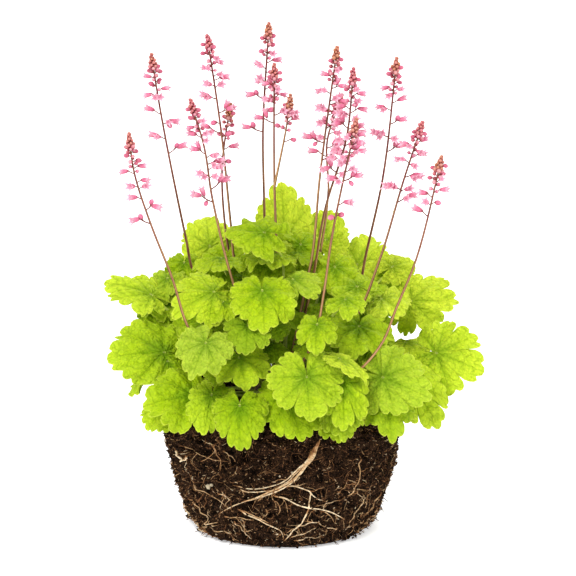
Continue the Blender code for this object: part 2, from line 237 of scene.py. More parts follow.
def ramp(tree, value, low, high, start=0.0, end=1.0):
    # start below low, end above high, and an S between
    inputs = {0: value, 1: low, 2: high, 3: start, 4: end}
    return addNode(tree, "ShaderNodeMapRange", inputs, interpolation_type="SMOOTHSTEP").outputs[0]


def blend(tree, share, first, second, kind="MIX"):
    # first where share is 0 and second where it is 1; colours are (r, g, b) or outputs
    a, b = (v if isinstance(v, bpy.types.NodeSocket) else (*v, 1) for v in (first, second))
    node = addNode(tree, "ShaderNodeMix", {0: share, 6: a, 7: b}, data_type="RGBA", blend_type=kind)
    return node.outputs[2]


def layered(tree, colour, *layers):
    # each layer, a share and a colour, laid over what is below it
    for share, over in layers:
        colour = blend(tree, share, colour, over)
    return colour


def tinted(tree, colour, share, low, high):
    # the colour times a tint that runs from low to high
    return blend(tree, 1.0, colour, blend(tree, share, low, high), "MULTIPLY")


def noise(tree, place, scale, detail):
    inputs = {"Vector": place, "Scale": scale, "Detail": detail}
    return addNode(tree, "ShaderNodeTexNoise", inputs).outputs[0]


def mark(tree, name):
    # one of the piece's own vertex marks
    return addNode(tree, "ShaderNodeAttribute", attribute_name=name).outputs["Vector"]


def parts(tree, vector):
    return addNode(tree, "ShaderNodeSeparateXYZ", {0: vector}).outputs[:]


def objectPlace(tree):
    return addNode(tree, "ShaderNodeTexCoord").outputs["Object"]


def newGroup(name, inputs, outputs):
    # an empty node group with named sockets: inputs by their defaults, which are numbers or
    # three of them, and outputs that are all numbers
    group = bpy.data.node_groups.new(name, "ShaderNodeTree")
    for key, value in inputs.items():
        kind = "NodeSocketFloat" if isinstance(value, float) else "NodeSocketVector"
        group.interface.new_socket(key, in_out="INPUT", socket_type=kind).default_value = value
    for key in outputs:
        group.interface.new_socket(key, in_out="OUTPUT", socket_type="NodeSocketFloat")
    return group, group.nodes.new("NodeGroupInput").outputs, group.nodes.new("NodeGroupOutput")


def useGroup(tree, group, inputs):
    return addNode(tree, "ShaderNodeGroup", inputs, node_tree=group).outputs


def newMaterial(name):
    material = bpy.data.materials.new(name)
    material.use_nodes = True
    return material, material.node_tree


def setShader(tree, colour, roughness, gloss, bump=None, **others):
    # bump is a height, its strength and its depth in metres
    inputs = {"Base Color": colour, "Roughness": roughness, "Specular IOR Level": gloss}
    for key, value in others.items():
        inputs[key.replace("_", " ")] = value
    if bump:
        bump = dict(zip(("Height", "Strength", "Distance"), bump))
        inputs["Normal"] = addNode(tree, "ShaderNodeBump", bump).outputs["Normal"]
    join(tree, tree.nodes["Principled BSDF"], inputs)


def addTranslucence(tree, colour, share):
    # lets a share of the light through the thin tissue
    shader = tree.nodes["Principled BSDF"].outputs[0]
    glow = addNode(tree, "ShaderNodeBsdfTranslucent", {"Color": colour}).outputs[0]
    mixed = addNode(tree, "ShaderNodeMixShader", {0: share, 1: shader, 2: glow}).outputs[0]
    join(tree, tree.nodes["Material Output"], {"Surface": mixed})


# Shared effects

def makeMottle():
    # soft blotches: two sizes of noise added, then stretched to 0..1
    inputs = {"Place": blank, "Size": 100.0, "Fine Share": 0.4, "Contrast": 0.25}
    group, given, out = newGroup("mottle", inputs, ["Mask"])
    place, size, contrast = given["Place"], given["Size"], given["Contrast"]
    broad = noise(group, place, size, 2.0)
    fine = noise(group, place, times(group, size, 5.3), 3.0)
    inputs = {0: given["Fine Share"], 2: broad, 3: fine}
    mixed = addNode(group, "ShaderNodeMix", inputs, data_type="FLOAT").outputs[0]
    low, high = minus(group, 0.5, contrast), plus(group, 0.5, contrast)
    join(group, out, {"Mask": ramp(group, mixed, low, high)})
    return group


def makeStreaks():
    # fine streaks: noise stretched along one direction of the surface
    inputs = {"Place": blank, "Size": 400.0, "Stretch": (1.0, 1.0, 0.15)}
    group, given, out = newGroup("fibreStreaks", inputs, ["Mask"])
    inputs = {0: given["Place"], 1: given["Stretch"]}
    drawn = addNode(group, "ShaderNodeVectorMath", inputs, operation="MULTIPLY").outputs[0]
    streaks = noise(group, drawn, given["Size"], 4.0)
    join(group, out, {"Mask": ramp(group, streaks, 0.35, 0.65)})
    return group


# widths are in mm, at the joint and at the edge
veinShape = {
    "mainWidth": (0.55, 0.2),
    "haloWidth": (4.4, 1.5),
    "lobeSpread": 0.85,      # mm across a lobe for each mm out
    "swayScale": 0.16,       # of the noise that bends the veins
    "mainSway": 0.5,
    "sideSway": 0.9,
    "crinkleScale": 0.27,
    "heights": {"net": 0.7, "pillow": 0.7, "crinkle": 3.0, "main": -0.7, "side": -0.3},
}


def makeVeins():
    # leaf veins from a leaf's two maps. Fan is (lobe number, share of the way out, mm out) and
    # Flat is the place on the flattened blade in mm. Main veins run where the lobe number is
    # whole, side veins slant off them, and a net of cells fills the rest
    look = veinShape
    inputs = {"Fan": blank, "Flat": blank, "Side Veins": 4.6, "Slant": 2.6, "Net Size": 0.40}
    group, given, out = newGroup("leafVeins", inputs, ["Main", "Halo", "Side", "Puff", "Height"])
    lobe, way, radius = parts(group, given["Fan"])
    sway = minus(group, noise(group, given["Flat"], look["swayScale"], 2.0), 0.5)
    off = fromHalf(group, plus(group, lobe, 0.5))
    offMm = times(group, times(group, off, radius), look["lobeSpread"])
    offMm = plus(group, offMm, times(group, sway, look["mainSway"]))
    width = ramp(group, way, 0.0, 1.0, *look["mainWidth"])
    main = ramp(group, sums(group, "DIVIDE", offMm, width), 0.25, 1.25, 1.0, 0.0)
    haloWidth = ramp(group, way, 0.0, 0.9, *look["haloWidth"])
    halo = ramp(group, sums(group, "DIVIDE", offMm, haloWidth), 0.0, 1.0, 1.0, 0.0)
    halo = times(group, halo, ramp(group, way, 0.15, 0.95, 1.0, 0.0))
    steps = times(group, way, given["Side Veins"])
    place = minus(group, steps, times(group, off, given["Slant"]))
    near = fromHalf(group, plus(group, place, times(group, sway, look["sideSway"])))
    side = times(group, ramp(group, near, 0.01, 0.09, 1.0, 0.0), ramp(group, way, 0.12, 0.3))
    inputs = {"Vector": given["Flat"], "Scale": given["Net Size"]}
    cells = addNode(group, "ShaderNodeTexVoronoi", inputs, feature="DISTANCE_TO_EDGE").outputs[0]
    crinkle = noise(group, given["Flat"], look["crinkleScale"], 3.0)
    masks = {
        "net": ramp(group, cells, 0.0, 0.42), "pillow": ramp(group, near, 0.0, 0.5),
        "crinkle": crinkle, "main": main, "side": side,
    }
    height = 0.0
    for key, mask in masks.items():
        height = plus(group, height, times(group, mask, look["heights"][key]))
    fleck = ramp(group, crinkle, 0.3, 0.7)
    puff = plus(group, times(group, masks["net"], 0.5), times(group, fleck, 0.5))
    join(group, out, {"Main": main, "Halo": halo, "Side": side, "Puff": puff, "Height": height})
    return group


mottle = makeMottle()
leafVeins = makeVeins()
fibreStreaks = makeStreaks()
print("shared effects made")


def mottled(tree, size, fineShare=0.4, contrast=0.25):
    inputs = {"Place": objectPlace(tree), "Size": size, "Fine Share": fineShare, "Contrast": contrast}
    return useGroup(tree, mottle, inputs)["Mask"]


def streaked(tree, size, stretch):
    inputs = {"Place": objectPlace(tree), "Size": size, "Stretch": stretch}
    return useGroup(tree, fibreStreaks, inputs)["Mask"]


# Leaf materials

leafColours = {
    "centre": (0.235, 0.435, 0.0015),
    "blade": (0.53, 0.71, 0.004),
    "margin": (0.62, 0.78, 0.022),
    "vein": (0.15, 0.30, 0.001),
    # darker green: partly the leaf's own, partly painted shade on leaves among the others
    "deepGreenAndShade": (0.17, 0.32, 0.004),
    # painted sheen: a greyish reflection of the sky on some leaves
    "paintedSheen": (0.50, 0.63, 0.07),
    # painted light coming through the leaf from behind
    "lit": (0.78, 0.87, 0.06),
    "rim": (0.76, 0.82, 0.11),
    "joint": (0.70, 0.68, 0.22),
    "under": (0.52, 0.66, 0.030),
    # how much of each is laid over what is below it
    "haloShare": 0.44,
    "sideShare": 0.26,
    "deepGreenAndShadeShare": 0.85,
    "paintedSheenShare": 0.65,
    "sheenPatchShare": 0.24,
    "litShare": 0.85,
    "underShare": 0.6,
    "patchTints": ((0.95, 0.96, 0.93), (1.03, 1.03, 1.06)),
    "quiltTints": ((0.76, 0.83, 0.72), (1.14, 1.10, 1.2)),
    "roughness": (0.52, 0.7),
    "gloss": 0.09,
    "throughLight": 0.32,
    "throughTint": (1.12, 1.12, 0.7),
    "veinDepth": 0.0013,
}
stalkColours = {
    "green": (0.55, 0.66, 0.07),
    "foot": (0.24, 0.31, 0.03),
    "streak": (0.60, 0.66, 0.18),
    "warm": (0.13, 0.10, 0.02),
}


def leafMaterial(name, under):
    # centre to blade to margin by the way out, darker beside the veins, then the leaf's tone: darker
    # green that is partly its own and partly painted shade, a painted greyish sheen and painted light
    # coming through
    look = leafColours
    material, tree = newMaterial(name)
    fan = mark(tree, "leafFan")
    _, way, radius = parts(tree, fan)
    deepGreenAndShade, paintedSheen, lit = parts(tree, mark(tree, "leafTone"))
    veins = useGroup(tree, leafVeins, {"Fan": fan, "Flat": mark(tree, "leafFlat")})
    blotch = mottled(tree, 70.0, 0.35)
    sheenPatches = times(tree, mottled(tree, 210.0, 0.6, 0.2), look["sheenPatchShare"])
    spread = plus(tree, way, times(tree, minus(tree, blotch, 0.5), 0.18))
    mainShare = ramp(tree, way, 0.1, 0.9, 0.17, 0.08)
    colour = layered(
        tree, look["centre"],
        (ramp(tree, spread, 0.02, 0.6), look["blade"]),
        (ramp(tree, spread, 0.6, 1.05), look["margin"]),
        # painted sheen, by leaf and in random patches
        (plus(tree, times(tree, paintedSheen, look["paintedSheenShare"]), sheenPatches), look["paintedSheen"]),
        # painted light coming through, by leaf
        (times(tree, lit, look["litShare"]), look["lit"]),
        (look["underShare"] if under else 0.0, look["under"]),
        (times(tree, veins["Halo"], look["haloShare"]), look["centre"]),
        (times(tree, veins["Main"], mainShare), look["vein"]),
        (times(tree, veins["Side"], look["sideShare"]), look["vein"]),
        # darker green by leaf, partly painted shade
        (times(tree, deepGreenAndShade, look["deepGreenAndShadeShare"]), look["deepGreenAndShade"]),
    )
    colour = tinted(tree, colour, blotch, *look["patchTints"])
    colour = tinted(tree, colour, veins["Puff"], *look["quiltTints"])
    colour = layered(
        tree, colour,
        (ramp(tree, way, 0.965, 1.0, 0.0, 0.5), look["rim"]),
        (ramp(tree, radius, 0.4, 1.2, 0.45, 0.0), look["joint"]),
    )
    height = times(tree, veins["Height"], -1.0 if under else 1.0)
    roughness = ramp(tree, blotch, 0.0, 1.0, *look["roughness"])
    setShader(tree, colour, roughness, look["gloss"], (height, 0.7, look["veinDepth"]))
    through = blend(tree, 1.0, colour, look["throughTint"], "MULTIPLY")
    addTranslucence(tree, through, look["throughLight"])
    return material


def stalkMaterial():
    # green at the blade, darker and warmer towards the crown, in fine streaks
    look = stalkColours
    material, tree = newMaterial("leafStalk")
    along, _, warm = parts(tree, mark(tree, "stalkTone"))
    streaks = streaked(tree, 900.0, (1.0, 1.0, 0.1))
    colour = layered(
        tree, look["green"],
        (ramp(tree, along, 0.0, 0.6), look["foot"]),
        (times(tree, streaks, 0.3), look["streak"]),
        (times(tree, warm, 0.5), look["warm"]),
    )
    setShader(tree, colour, 0.5, 0.25, (streaks, 0.3, 0.0001))
    return material


bladeTop = leafMaterial("leafUpperFace", False)
bladeUnder = leafMaterial("leafUnderside", True)
leafStalk = stalkMaterial()
print("leaf materials made")


# Leaves
# joint (x, y, z), width, length from joint to tip, heading, droop, roll, and tone as (darker
# green that is partly painted shade, painted greyish sheen, painted light coming through), each from 0
# to 1

# the leaves that nodes stand for, by storey and counted from 1
leaves = {
    "low": (
        ((-69, -72, 125), 50, 40, -160, 4, -48, (0.15, 0, 0)),
        ((-54, -92, 131), 34, 35, -103, 48, -12, (0.05, 0.15, 0.1)),
        ((-32, -114, 128), 39, 35, -90, 53, 0, (0.34, 0, 0)),
        ((5, -97, 130), 48, 42, -65, 51, 15, (0.2, 0, 0)),
        ((46, -98, 130), 38, 37, -88, 50, 0, (0.12, 0.3, 0)),
        ((79, -84, 127), 44, 36, -76, 46, 10, (0.28, 0.15, 0)),
        ((101, -68, 133), 46, 44, -42, 46, 40, (0, 0.15, 0.3)),
        ((104, 14, 128), 50, 38, 6, 45, 0, (0.1, 0, 0)),
        ((84, 58, 133), 50, 38, 33, 55, 0, (0, 0.1, 0.1)),
        ((42, 93, 131), 48, 37, 68, 58, 0, (0.05, 0, 0.1)),
        ((2, 102, 134), 54, 38, 92, 55, 0, (0, 0, 0.15)),
        ((-44, 92, 129), 50, 38, 116, 58, 0, (0.1, 0.2, 0)),
        ((-84, 58, 136), 50, 37, 146, 50, 0, (0, 0, 0.1)),
        ((-100, 20, 126), 50, 38, 168, 45, 0, (0.1, 0, 0)),
    ),
    "mid": (
        ((-93, -40, 152), 59, 48, -166, 2, -44, (0, 0.15, 0)),
        ((-58, -102, 174), 43, 31, -119, 44, -25, (0, 0.85, 0)),
        ((-33, -80, 157), 46, 31, -73, 44, 5, (0, 0.1, 0.1)),
        ((19, -120, 152), 56, 35, -81, 62, 5, (0.06, 0.3, 0)),
        ((46, -110, 145), 40, 38, -86, 60, 0, (0.1, 0.1, 0)),
        ((78, -93, 145), 53, 44, -25, 18, 62, (0.08, 0.55, 0)),
        ((60, -62, 178), 50, 31, -104, 45, -12, (0.2, 0.1, 0)),
        ((122, -42, 152), 58, 43, -21, 17, 60, (0, 0.1, 0.5)),
        ((60, 70, 172), 54, 38, 52, 30, 0, (0, 0, 0.2)),
        ((8, 90, 176), 54, 38, 86, 34, 0, (0.05, 0.1, 0.1)),
        ((-46, 78, 172), 54, 38, 118, 32, 0, (0, 0, 0.2)),
        ((-86, 38, 160), 52, 38, 154, 28, 0, (0, 0.1, 0.1)),
    ),
    "high": (
        ((-104, -10, 192), 36, 43, 157, -10, -30, (0, 0.25, 0.4)),
        ((-53, -60, 205), 48, 38, -145, 18, -40, (0, 0.05, 0.3)),
        ((-15, -75, 209), 49, 34, -85, 49, 0, (0.14, 0, 0)),
        ((9, -46, 212), 38, 28, -48, 20, 25, (0.05, 0.6, 0)),
        ((-48, -12, 222), 42, 27, -88, 18, 0, (0.1, 0.1, 0.1)),
        ((79, -26, 192), 36, 29, -55, 12, 28, (0, 0.5, 0.6)),
        ((104, 8, 183), 46, 40, -16, -3, 58, (0, 0, 0.9)),
        ((-20, 70, 205), 50, 36, 104, 18, 0, (0, 0, 0.2)),
    ),
    "top": (
        ((-59, 45, 221), 46, 34, 99, -39, -8, (0, 0.1, 0.7)),
        ((-14, -34, 247), 42, 32, 162, 2, -30, (0.28, 0.1, 0)),
        ((2, 50, 228), 50, 45, 98, -66, -5, (0, 0, 0.8)),
        ((35, 64, 222), 38, 32, 78, -44, 10, (0, 0, 0.7)),
        ((62, 68, 201), 42, 36, 60, -33, 25, (0, 0, 0.9)),
        ((83, 36, 195), 42, 32, 40, -18, 38, (0, 0, 0.85)),
    ),
}

# smaller leaves between the others, which no node stands for. They count from 1 without 13
# the darker green of those among the others is mostly painted shade
fillingLeaves = (
    ((-89, -55, 111), 35, 26, -150, 32, -25, (0, 0, 0.2)),
    ((43, -100, 118), 32, 25, -85, 60, 0, (0.3, 0, 0)),
    ((-90, -45, 146), 36, 24, -165, 20, -40, (0.3, 0, 0)),
    ((-26, -85, 184), 35, 27, -95, 52, 0, (0.55, 0.3, 0)),
    ((-5, -60, 179), 24, 16, -80, 45, 0, (0.8, 0, 0)),
    ((27, -95, 187), 31, 25, -95, 47, 0, (0.15, 0.1, 0)),
    ((-88, 0, 183), 36, 25, 175, 12, -30, (0.2, 0.1, 0)),
    ((-90, 10, 177), 29, 20, -150, 20, -25, (0.1, 0.5, 0)),
    ((-75, 40, 190), 33, 22, 150, 5, -20, (0.1, 0.2, 0.1)),
    ((-46, -65, 198), 33, 22, -115, 38, -8, (0.15, 0, 0.1)),
    ((59, -30, 203), 33, 23, 150, 2, -30, (0.1, 0.35, 0)),
    ((49, -75, 202), 32, 21, -80, 28, 5, (0.1, 0.2, 0)),
    ((2, 20, 229), 37, 26, 20, 0, 35, (0.15, 0, 0.2)),
    ((-9, -20, 227), 41, 28, -90, 14, 0, (0.15, 0, 0.1)),
    ((12, 0, 225), 35, 24, -60, 15, 0, (0.6, 0, 0)),
    ((36, 25, 230), 22, 17, 0, -4, 35, (0, 0.1, 0.4)),
    ((68, 10, 195), 29, 20, -60, 25, 10, (0.2, 0.1, 0)),
    ((30, 78, 200), 42, 30, 70, 24, 0, (0.1, 0, 0.1)),
    ((-66, 70, 196), 38, 27, 135, 22, 5, (0, 0, 0.2)),
    ((90, 34, 206), 30, 22, 30, -10, 30, (0, 0, 0.8)),
    ((-30, 40, 232), 36, 26, 100, 10, 0, (0.1, 0, 0.2)),
    ((12, 42, 226), 36, 26, 60, 16, 0, (0.1, 0, 0.1)),
    ((78, 54, 172), 40, 28, 62, 30, 0, (0.1, 0.1, 0)),
    ((-98, 10, 152), 40, 28, -176, 32, -15, (0.15, 0, 0)),
    ((-12, -56, 160), 30, 22, -95, 38, 0, (0.7, 0, 0)),
    ((24, -58, 163), 30, 22, -70, 38, 5, (0.6, 0, 0)),
    ((2, -36, 181), 34, 25, -100, 30, 0, (0.6, 0, 0)),
    ((-30, -40, 188), 34, 25, -120, 24, -10, (0.5, 0, 0)),
    ((38, -34, 188), 34, 25, -50, 26, 10, (0.5, 0, 0)),
    ((-60, -28, 174), 36, 26, -150, 24, -10, (0.4, 0, 0.1)),
    ((56, -44, 160), 34, 25, -50, 32, 10, (0.5, 0, 0)),
    ((69, -18, 160), 36, 26, -45, 32, 10, (0.35, 0, 0.1)),
    ((-22, -4, 206), 36, 26, -140, 10, -8, (0.45, 0, 0)),
    ((34, 22, 206), 36, 26, 20, 14, 8, (0.4, 0, 0)),
    ((-58, 20, 194), 38, 27, 165, 14, -8, (0.35, 0, 0.1)),
    ((-44, -70, 150), 32, 24, -120, 40, -8, (0.5, 0, 0)),
    ((60, 28, 180), 40, 28, 28, 24, 0, (0.3, 0, 0.1)),
    ((-20, 58, 182), 42, 30, 110, 24, 0, (0.3, 0, 0.1)),
    ((38, 54, 178), 42, 30, 62, 26, 0, (0.3, 0, 0.1)),
    ((-79, 20, 212), 30, 22, -95, 50, 0, (0.35, 0, 0)),
    ((-92, 5, 202), 30, 22, -110, 48, 0, (0.05, 0.5, 0)),
    ((42, -8, 214), 38, 27, -80, 50, 5, (0.15, 0.1, 0)),
    ((-10, -12, 222), 44, 30, -92, 58, 0, (0.4, 0, 0)),
    ((44, -106, 163), 27, 31, -15, 36, 8, (0, 0.3, 0.6)),
    ((99, -10, 153), 22, 22, -10, 16, 14, (0, 0.2, 1)),
    ((-46, -12, 172), 46, 32, -95, 60, 0, (0.5, 0, 0)),
    ((46, -48, 154), 44, 32, -85, 60, 0, (0.5, 0, 0)),
    ((56, 2, 192), 44, 32, -80, 60, 0, (0.4, 0, 0)),
    ((-100, 4, 180), 34, 24, -120, 50, 0, (0.3, 0, 0)),
    ((0, 10, 170), 50, 36, -90, 65, 0, (0.8, 0, 0)),
    ((30, 20, 196), 46, 32, -88, 62, 0, (0.6, 0, 0)),
    ((-45, 8, 214), 42, 30, -92, 62, 0, (0.35, 0, 0)),
    ((15, 4, 230), 32, 24, -85, 60, 0, (0.45, 0, 0)),
    ((74, -54, 153), 40, 30, -75, 58, 0, (0.5, 0, 0)),
    ((68, -20, 182), 38, 28, -80, 60, 0, (0.45, 0, 0)),
    ((-70, -18, 182), 38, 28, -100, 60, 0, (0.4, 0, 0)),
)

# the size of a leaf's parts, for a blade of width 1 where no mm are named
leafShape = {
    "teethPerLobe": 3,
    # places across one lobe where the edge has points: the cut, three teeth and their notches
    "lobeSteps": (
        -0.5, -0.475, -0.41, -0.33, -0.24, -0.167, -0.09, 0, 0.09, 0.167, 0.24, 0.33, 0.41, 0.475,
    ),
    "sinus": (3.5, 3.62),    # lobe numbers where the open notch at the joint starts and ends
    "sinusAngle": (168, 177),
    "sinusReach": (0.24, 0.40),
    "cutAngles": (0, 28, 74, 124),     # degrees from the tip line, at lobe numbers 0, 0.5, 1.5 ...
    "reachAt": (0, 1, 2, 3, 3.3),
    "reach": (0.62, 0.585, 0.55, 0.50, 0.46),
    "jointReach": 0.07,
    "lobePower": 0.24,       # how round lobes and teeth are: nearer 0 is squarer
    "toothPower": 0.36,
    "lobeSize": (-0.09, 0.07),
    "lobeCut": (0.15, 0.33),    # share of the radius that the cuts go in, least and most
    "toothCut": 0.10,
    "rings": 12,
    "ringSpacing": 0.85,     # below 1, rings lie closer at the edge
    "tipReach": 0.64,        # joint to tip
    "meanReach": 0.56,
    "skew": 0.06,
    "thickness": 0.7,        # mm in the middle and at the edge
    "rimThickness": 0.35,
    "arch": 0.30,
    "sideFall": 0.09,
    "pleat": 0.05,           # main veins lie this far below the tissue beside them
    "ruffle": (0.025, 0.08),    # least and most, as for curl
    "ruffleBeat": (1.5, 2.3),   # waves of the ruffle for two lobes
    "fineBeat": 4.3,
    "wave": 0.045,
    "curl": (-0.02, 0.07),
    "pucker": 0.03,
    "puckerMm": 5.0,
    "stalkRadius": 1.0,
    "stalkSides": 6,
    "stalkSteps": 12,
    "stalkDip": (0, 0, -1.7),    # mm below the joint where the stalk's own curve ends
    "stalkArrive": (0.72, 0, 0.7),
    "stalkPull": (0.38, 0.3),    # how far the curve keeps to its first and last direction
    "stalkSpread": 1.3,
    "collar": (1.7, 1.25),
}
crownShape = {
    "middle": 108.0,
    "foot": 108.4,
    "radius": 27.0,
    "rise": 22.0,
    "lumps": 5,
    "lump": 0.06,
    "clearance": 0.8,        # mm from the dome to where stalks start
}


def bladeEdge(rng):
    # the edge as lobe number, angle and radius: fan-shaped lobes, whose smooth radius is cut
    # in sharply at each half lobe number and less deeply between the teeth
    look = leafShape
    teeth, sinus = look["teethPerLobe"], look["sinus"]
    lobe = np.concatenate([np.array(look["lobeSteps"]) + k for k in range(-3, 4)] + [sinus])
    size = np.abs(lobe)
    angles = [*look["cutAngles"], rng.uniform(*look["sinusAngle"]), 180]
    angle = np.sign(lobe) * np.interp(size, [0, 0.5, 1.5, 2.5, *sinus], angles)
    reach = [*look["reach"], rng.uniform(*look["sinusReach"]), look["jointReach"]]
    base = np.interp(size, [*look["reachAt"], *sinus], reach)
    lobeRound = np.abs(np.cos(math.pi * lobe)) ** look["lobePower"]
    toothRound = np.abs(np.cos(math.pi * teeth * lobe)) ** look["toothPower"]
    # one random size or cut for each lobe, each tooth and each gap between lobes
    lobeSize = rng.uniform(*look["lobeSize"], 9)[np.round(lobe).astype(int) + 4]
    toothCut = rng.uniform(0.6, 1.3, 25)[np.round(lobe * teeth).astype(int) + 12] * look["toothCut"]
    lobeCut = rng.uniform(*look["lobeCut"]) * rng.uniform(0.7, 1.25, 10)[np.floor(lobe).astype(int) + 5]
    radius = base * (1 + lobeSize * lobeRound) * (1 - lobeCut * (1 - lobeRound))
    return lobe, np.radians(angle), radius * (1 - toothCut * (1 - toothRound) * (lobeRound > 0.5))


def turns(heading, droop, roll):
    # the leaf's own axes in the plant's: +X to the tip, +Y to its left, +Z out of the upper face
    h, d, r = np.radians([heading, droop, roll])
    about = np.array([[math.cos(h), -math.sin(h), 0], [math.sin(h), math.cos(h), 0], [0, 0, 1]])
    tilt = np.array([[math.cos(d), 0, math.sin(d)], [0, 1, 0], [-math.sin(d), 0, math.cos(d)]])
    spin = np.array([[1, 0, 0], [0, math.cos(r), -math.sin(r)], [0, math.sin(r), math.cos(r)]])
    return about @ tilt @ spin


def crownPoint(bearing, rise, clearance=0.0):
    # the crown's dome: a flattened, slightly lumpy half sphere on the soil
    look = crownShape
    level, up = np.cos(np.radians(rise)), np.sin(np.radians(rise))
    lump = 1 + look["lump"] * np.sin(np.radians(look["lumps"] * bearing)) * level
    across = (look["radius"] * lump + clearance) * level
    return onBearing(bearing, across, look["foot"] + (look["rise"] + clearance) * up)


def footOnCrown(target):
    # where a stalk to target leaves the crown, and the way it points there
    way = target - upward * crownShape["middle"]
    bearing = math.degrees(math.atan2(way[1], way[0]))
    rise = math.degrees(math.atan2(way[2], math.hypot(way[0], way[1])))
    return crownPoint(bearing, rise, crownShape["clearance"]), unit(way)


def addBlade(piece, joint, axes, width, length, tone, rng):
    # a closed shell whose rows run from the middle of the upper face out to the edge and back
    # along the underside. Height is an arch along the tip line, a fall to both sides, pleats
    # between the main veins, ruffles near the edge and small puckers
    look = leafShape
    lobe, angle, radius = bladeEdge(rng)
    shares = np.linspace(0, 1, look["rings"] + 1)[1:] ** look["ringSpacing"]
    share = np.concatenate([shares, shares[::-1]])[:, None]
    face = np.repeat([0.5, -0.5], len(shares))[:, None]
    angle = angle + look["skew"] * np.sin(angle + rng.uniform(0, 6.28)) * np.sin(np.abs(angle))
    ahead = radius * share * np.cos(angle)
    aside = radius * share * np.sin(angle)
    reach = ahead * width * np.where(ahead > 0, length / (look["tipReach"] * width), 1.0)
    outward = np.hypot(ahead, aside) / look["meanReach"]
    size = width * outward
    phases = rng.uniform(0, math.tau, 4)
    height = look["arch"] * reach * (1 - reach / length)
    height = height - look["sideFall"] * width * (2 * aside) ** 2
    height = height - look["pleat"] * size * (1 - 0.3 * share) * np.cos(math.tau * lobe)
    beat = rng.uniform(*look["ruffleBeat"])
    ruffle = rng.uniform(*look["ruffle"])
    height = height + ruffle * size * share**2.5 * np.sin(math.pi * beat * lobe + phases[0])
    fine = np.sin(math.pi * look["fineBeat"] * lobe + phases[3])
    height = height + 0.4 * ruffle * size * share**4 * fine
    height = height + look["wave"] * size * outward * np.sin(2 * angle + phases[1])
    height = height - rng.uniform(*look["curl"]) * size * share**4
    flat = threes(ahead * width, aside * width, rng.uniform(0, 40))
    pucker = cellNoise(flat, look["puckerMm"], 5) * smoothStep(0.05, 0.4, share)
    height = height + look["pucker"] * width * pucker
    thickness = look["thickness"] + (look["rimThickness"] - look["thickness"]) * share**2
    local = threes(reach, aside * width, height + face * thickness)
    middle = upward * look["thickness"] / 2
    points, quads, tris = closedGrid(local, middle, -middle)
    fan = threes(np.abs(lobe), share, size * look["meanReach"])
    fan = np.concatenate([fan.reshape(-1, 3), np.zeros((2, 3))])
    flat = np.concatenate([flat.reshape(-1, 3), np.full((2, 3), upward * flat[0, 0, 2])])
    columns = len(lobe)
    upper = look["rings"] * columns
    piece.add(
        points @ axes.T + joint, quads[:upper], tris[:columns], 0,
        leafFan=fan, leafFlat=flat, leafTone=tone, stalkTone=blank,
    )
    piece.addFaces(piece.count - len(points), 1, quads[upper:], tris[columns:])


def addStalk(piece, joint, axes):
    # a round stalk from under the blade to the crown, thicker at its foot
    look = leafShape
    foot, outward = footOnCrown(joint)
    end = joint + axes @ look["stalkDip"]
    span = np.linalg.norm(end - foot)
    leave, arrive = look["stalkPull"]
    second = foot + (outward + 0.3 * upward) * leave * span
    third = end - axes @ look["stalkArrive"] * arrive * span
    path = bezier(foot, second, third, end, np.linspace(1, 0, look["stalkSteps"])[:, None])
    path = np.concatenate([[joint], path, [foot - outward * 1.5]])
    grow = np.linspace(1, look["stalkSpread"], len(path))
    grow[:2] = look["collar"]
    radii = look["stalkRadius"] * grow
    points, quads, tris, along = tubes(path[None], radii[None], look["stalkSides"], axes[:, 1])
    tone = threes(along, 0.0, smoothStep(0.75, 1.0, along))
    piece.add(points, quads, tris, 2, leafFan=blank, leafFlat=blank, leafTone=blank, stalkTone=tone)


def growLeaf(name, joint, width, length, heading, droop, roll, tone, nodes, seed):
    piece = Piece(name)
    axes = turns(heading, droop, roll)
    joint = np.array(joint, dtype=float)
    addBlade(piece, joint, axes, width, length, tone, np.random.default_rng(seed))
    addStalk(piece, joint, axes)
    piece.make((bladeTop, bladeUnder, leafStalk), nodes)


names = [f"{storey}_{k + 1}" for storey, rows in leaves.items() for k in range(len(rows))]
for seed, (name, leaf) in enumerate(zip(names, sum(leaves.values(), ())), 100):
    growLeaf("blade_" + name, *leaf, ("leaf_" + name,), seed)
numbers = [k for k in range(1, len(fillingLeaves) + 2) if k != 13]
for seed, (k, leaf) in enumerate(zip(numbers, fillingLeaves), 300):
    growLeaf(f"young_leaf_{k}", *leaf, (), seed)
print("leaves grown:", len(names) + len(numbers))


# Flower materials

flowerColours = {
    "stemLow": (0.12, 0.065, 0.016),
    "stemMiddle": (0.085, 0.022, 0.009),
    "stemHigh": (0.13, 0.014, 0.022),
    "stemLight": (0.42, 0.24, 0.10),
    "stemSunny": (0.50, 0.28, 0.12),
    "foot": (0.34, 0.035, 0.05),
    "bell": (0.76, 0.18, 0.33),
    "lip": (0.93, 0.60, 0.71),
    "headBud": (0.46, 0.06, 0.09),
    "headTip": (0.84, 0.32, 0.34),
    "brownBud": (0.40, 0.13, 0.05),
    "brownTip": (0.82, 0.42, 0.19),
    "bract": (0.36, 0.48, 0.03),
    "petalTints": ((0.80, 0.72, 0.77), (1.12, 1.14, 1.1)),
    "throughLight": 0.3,
}


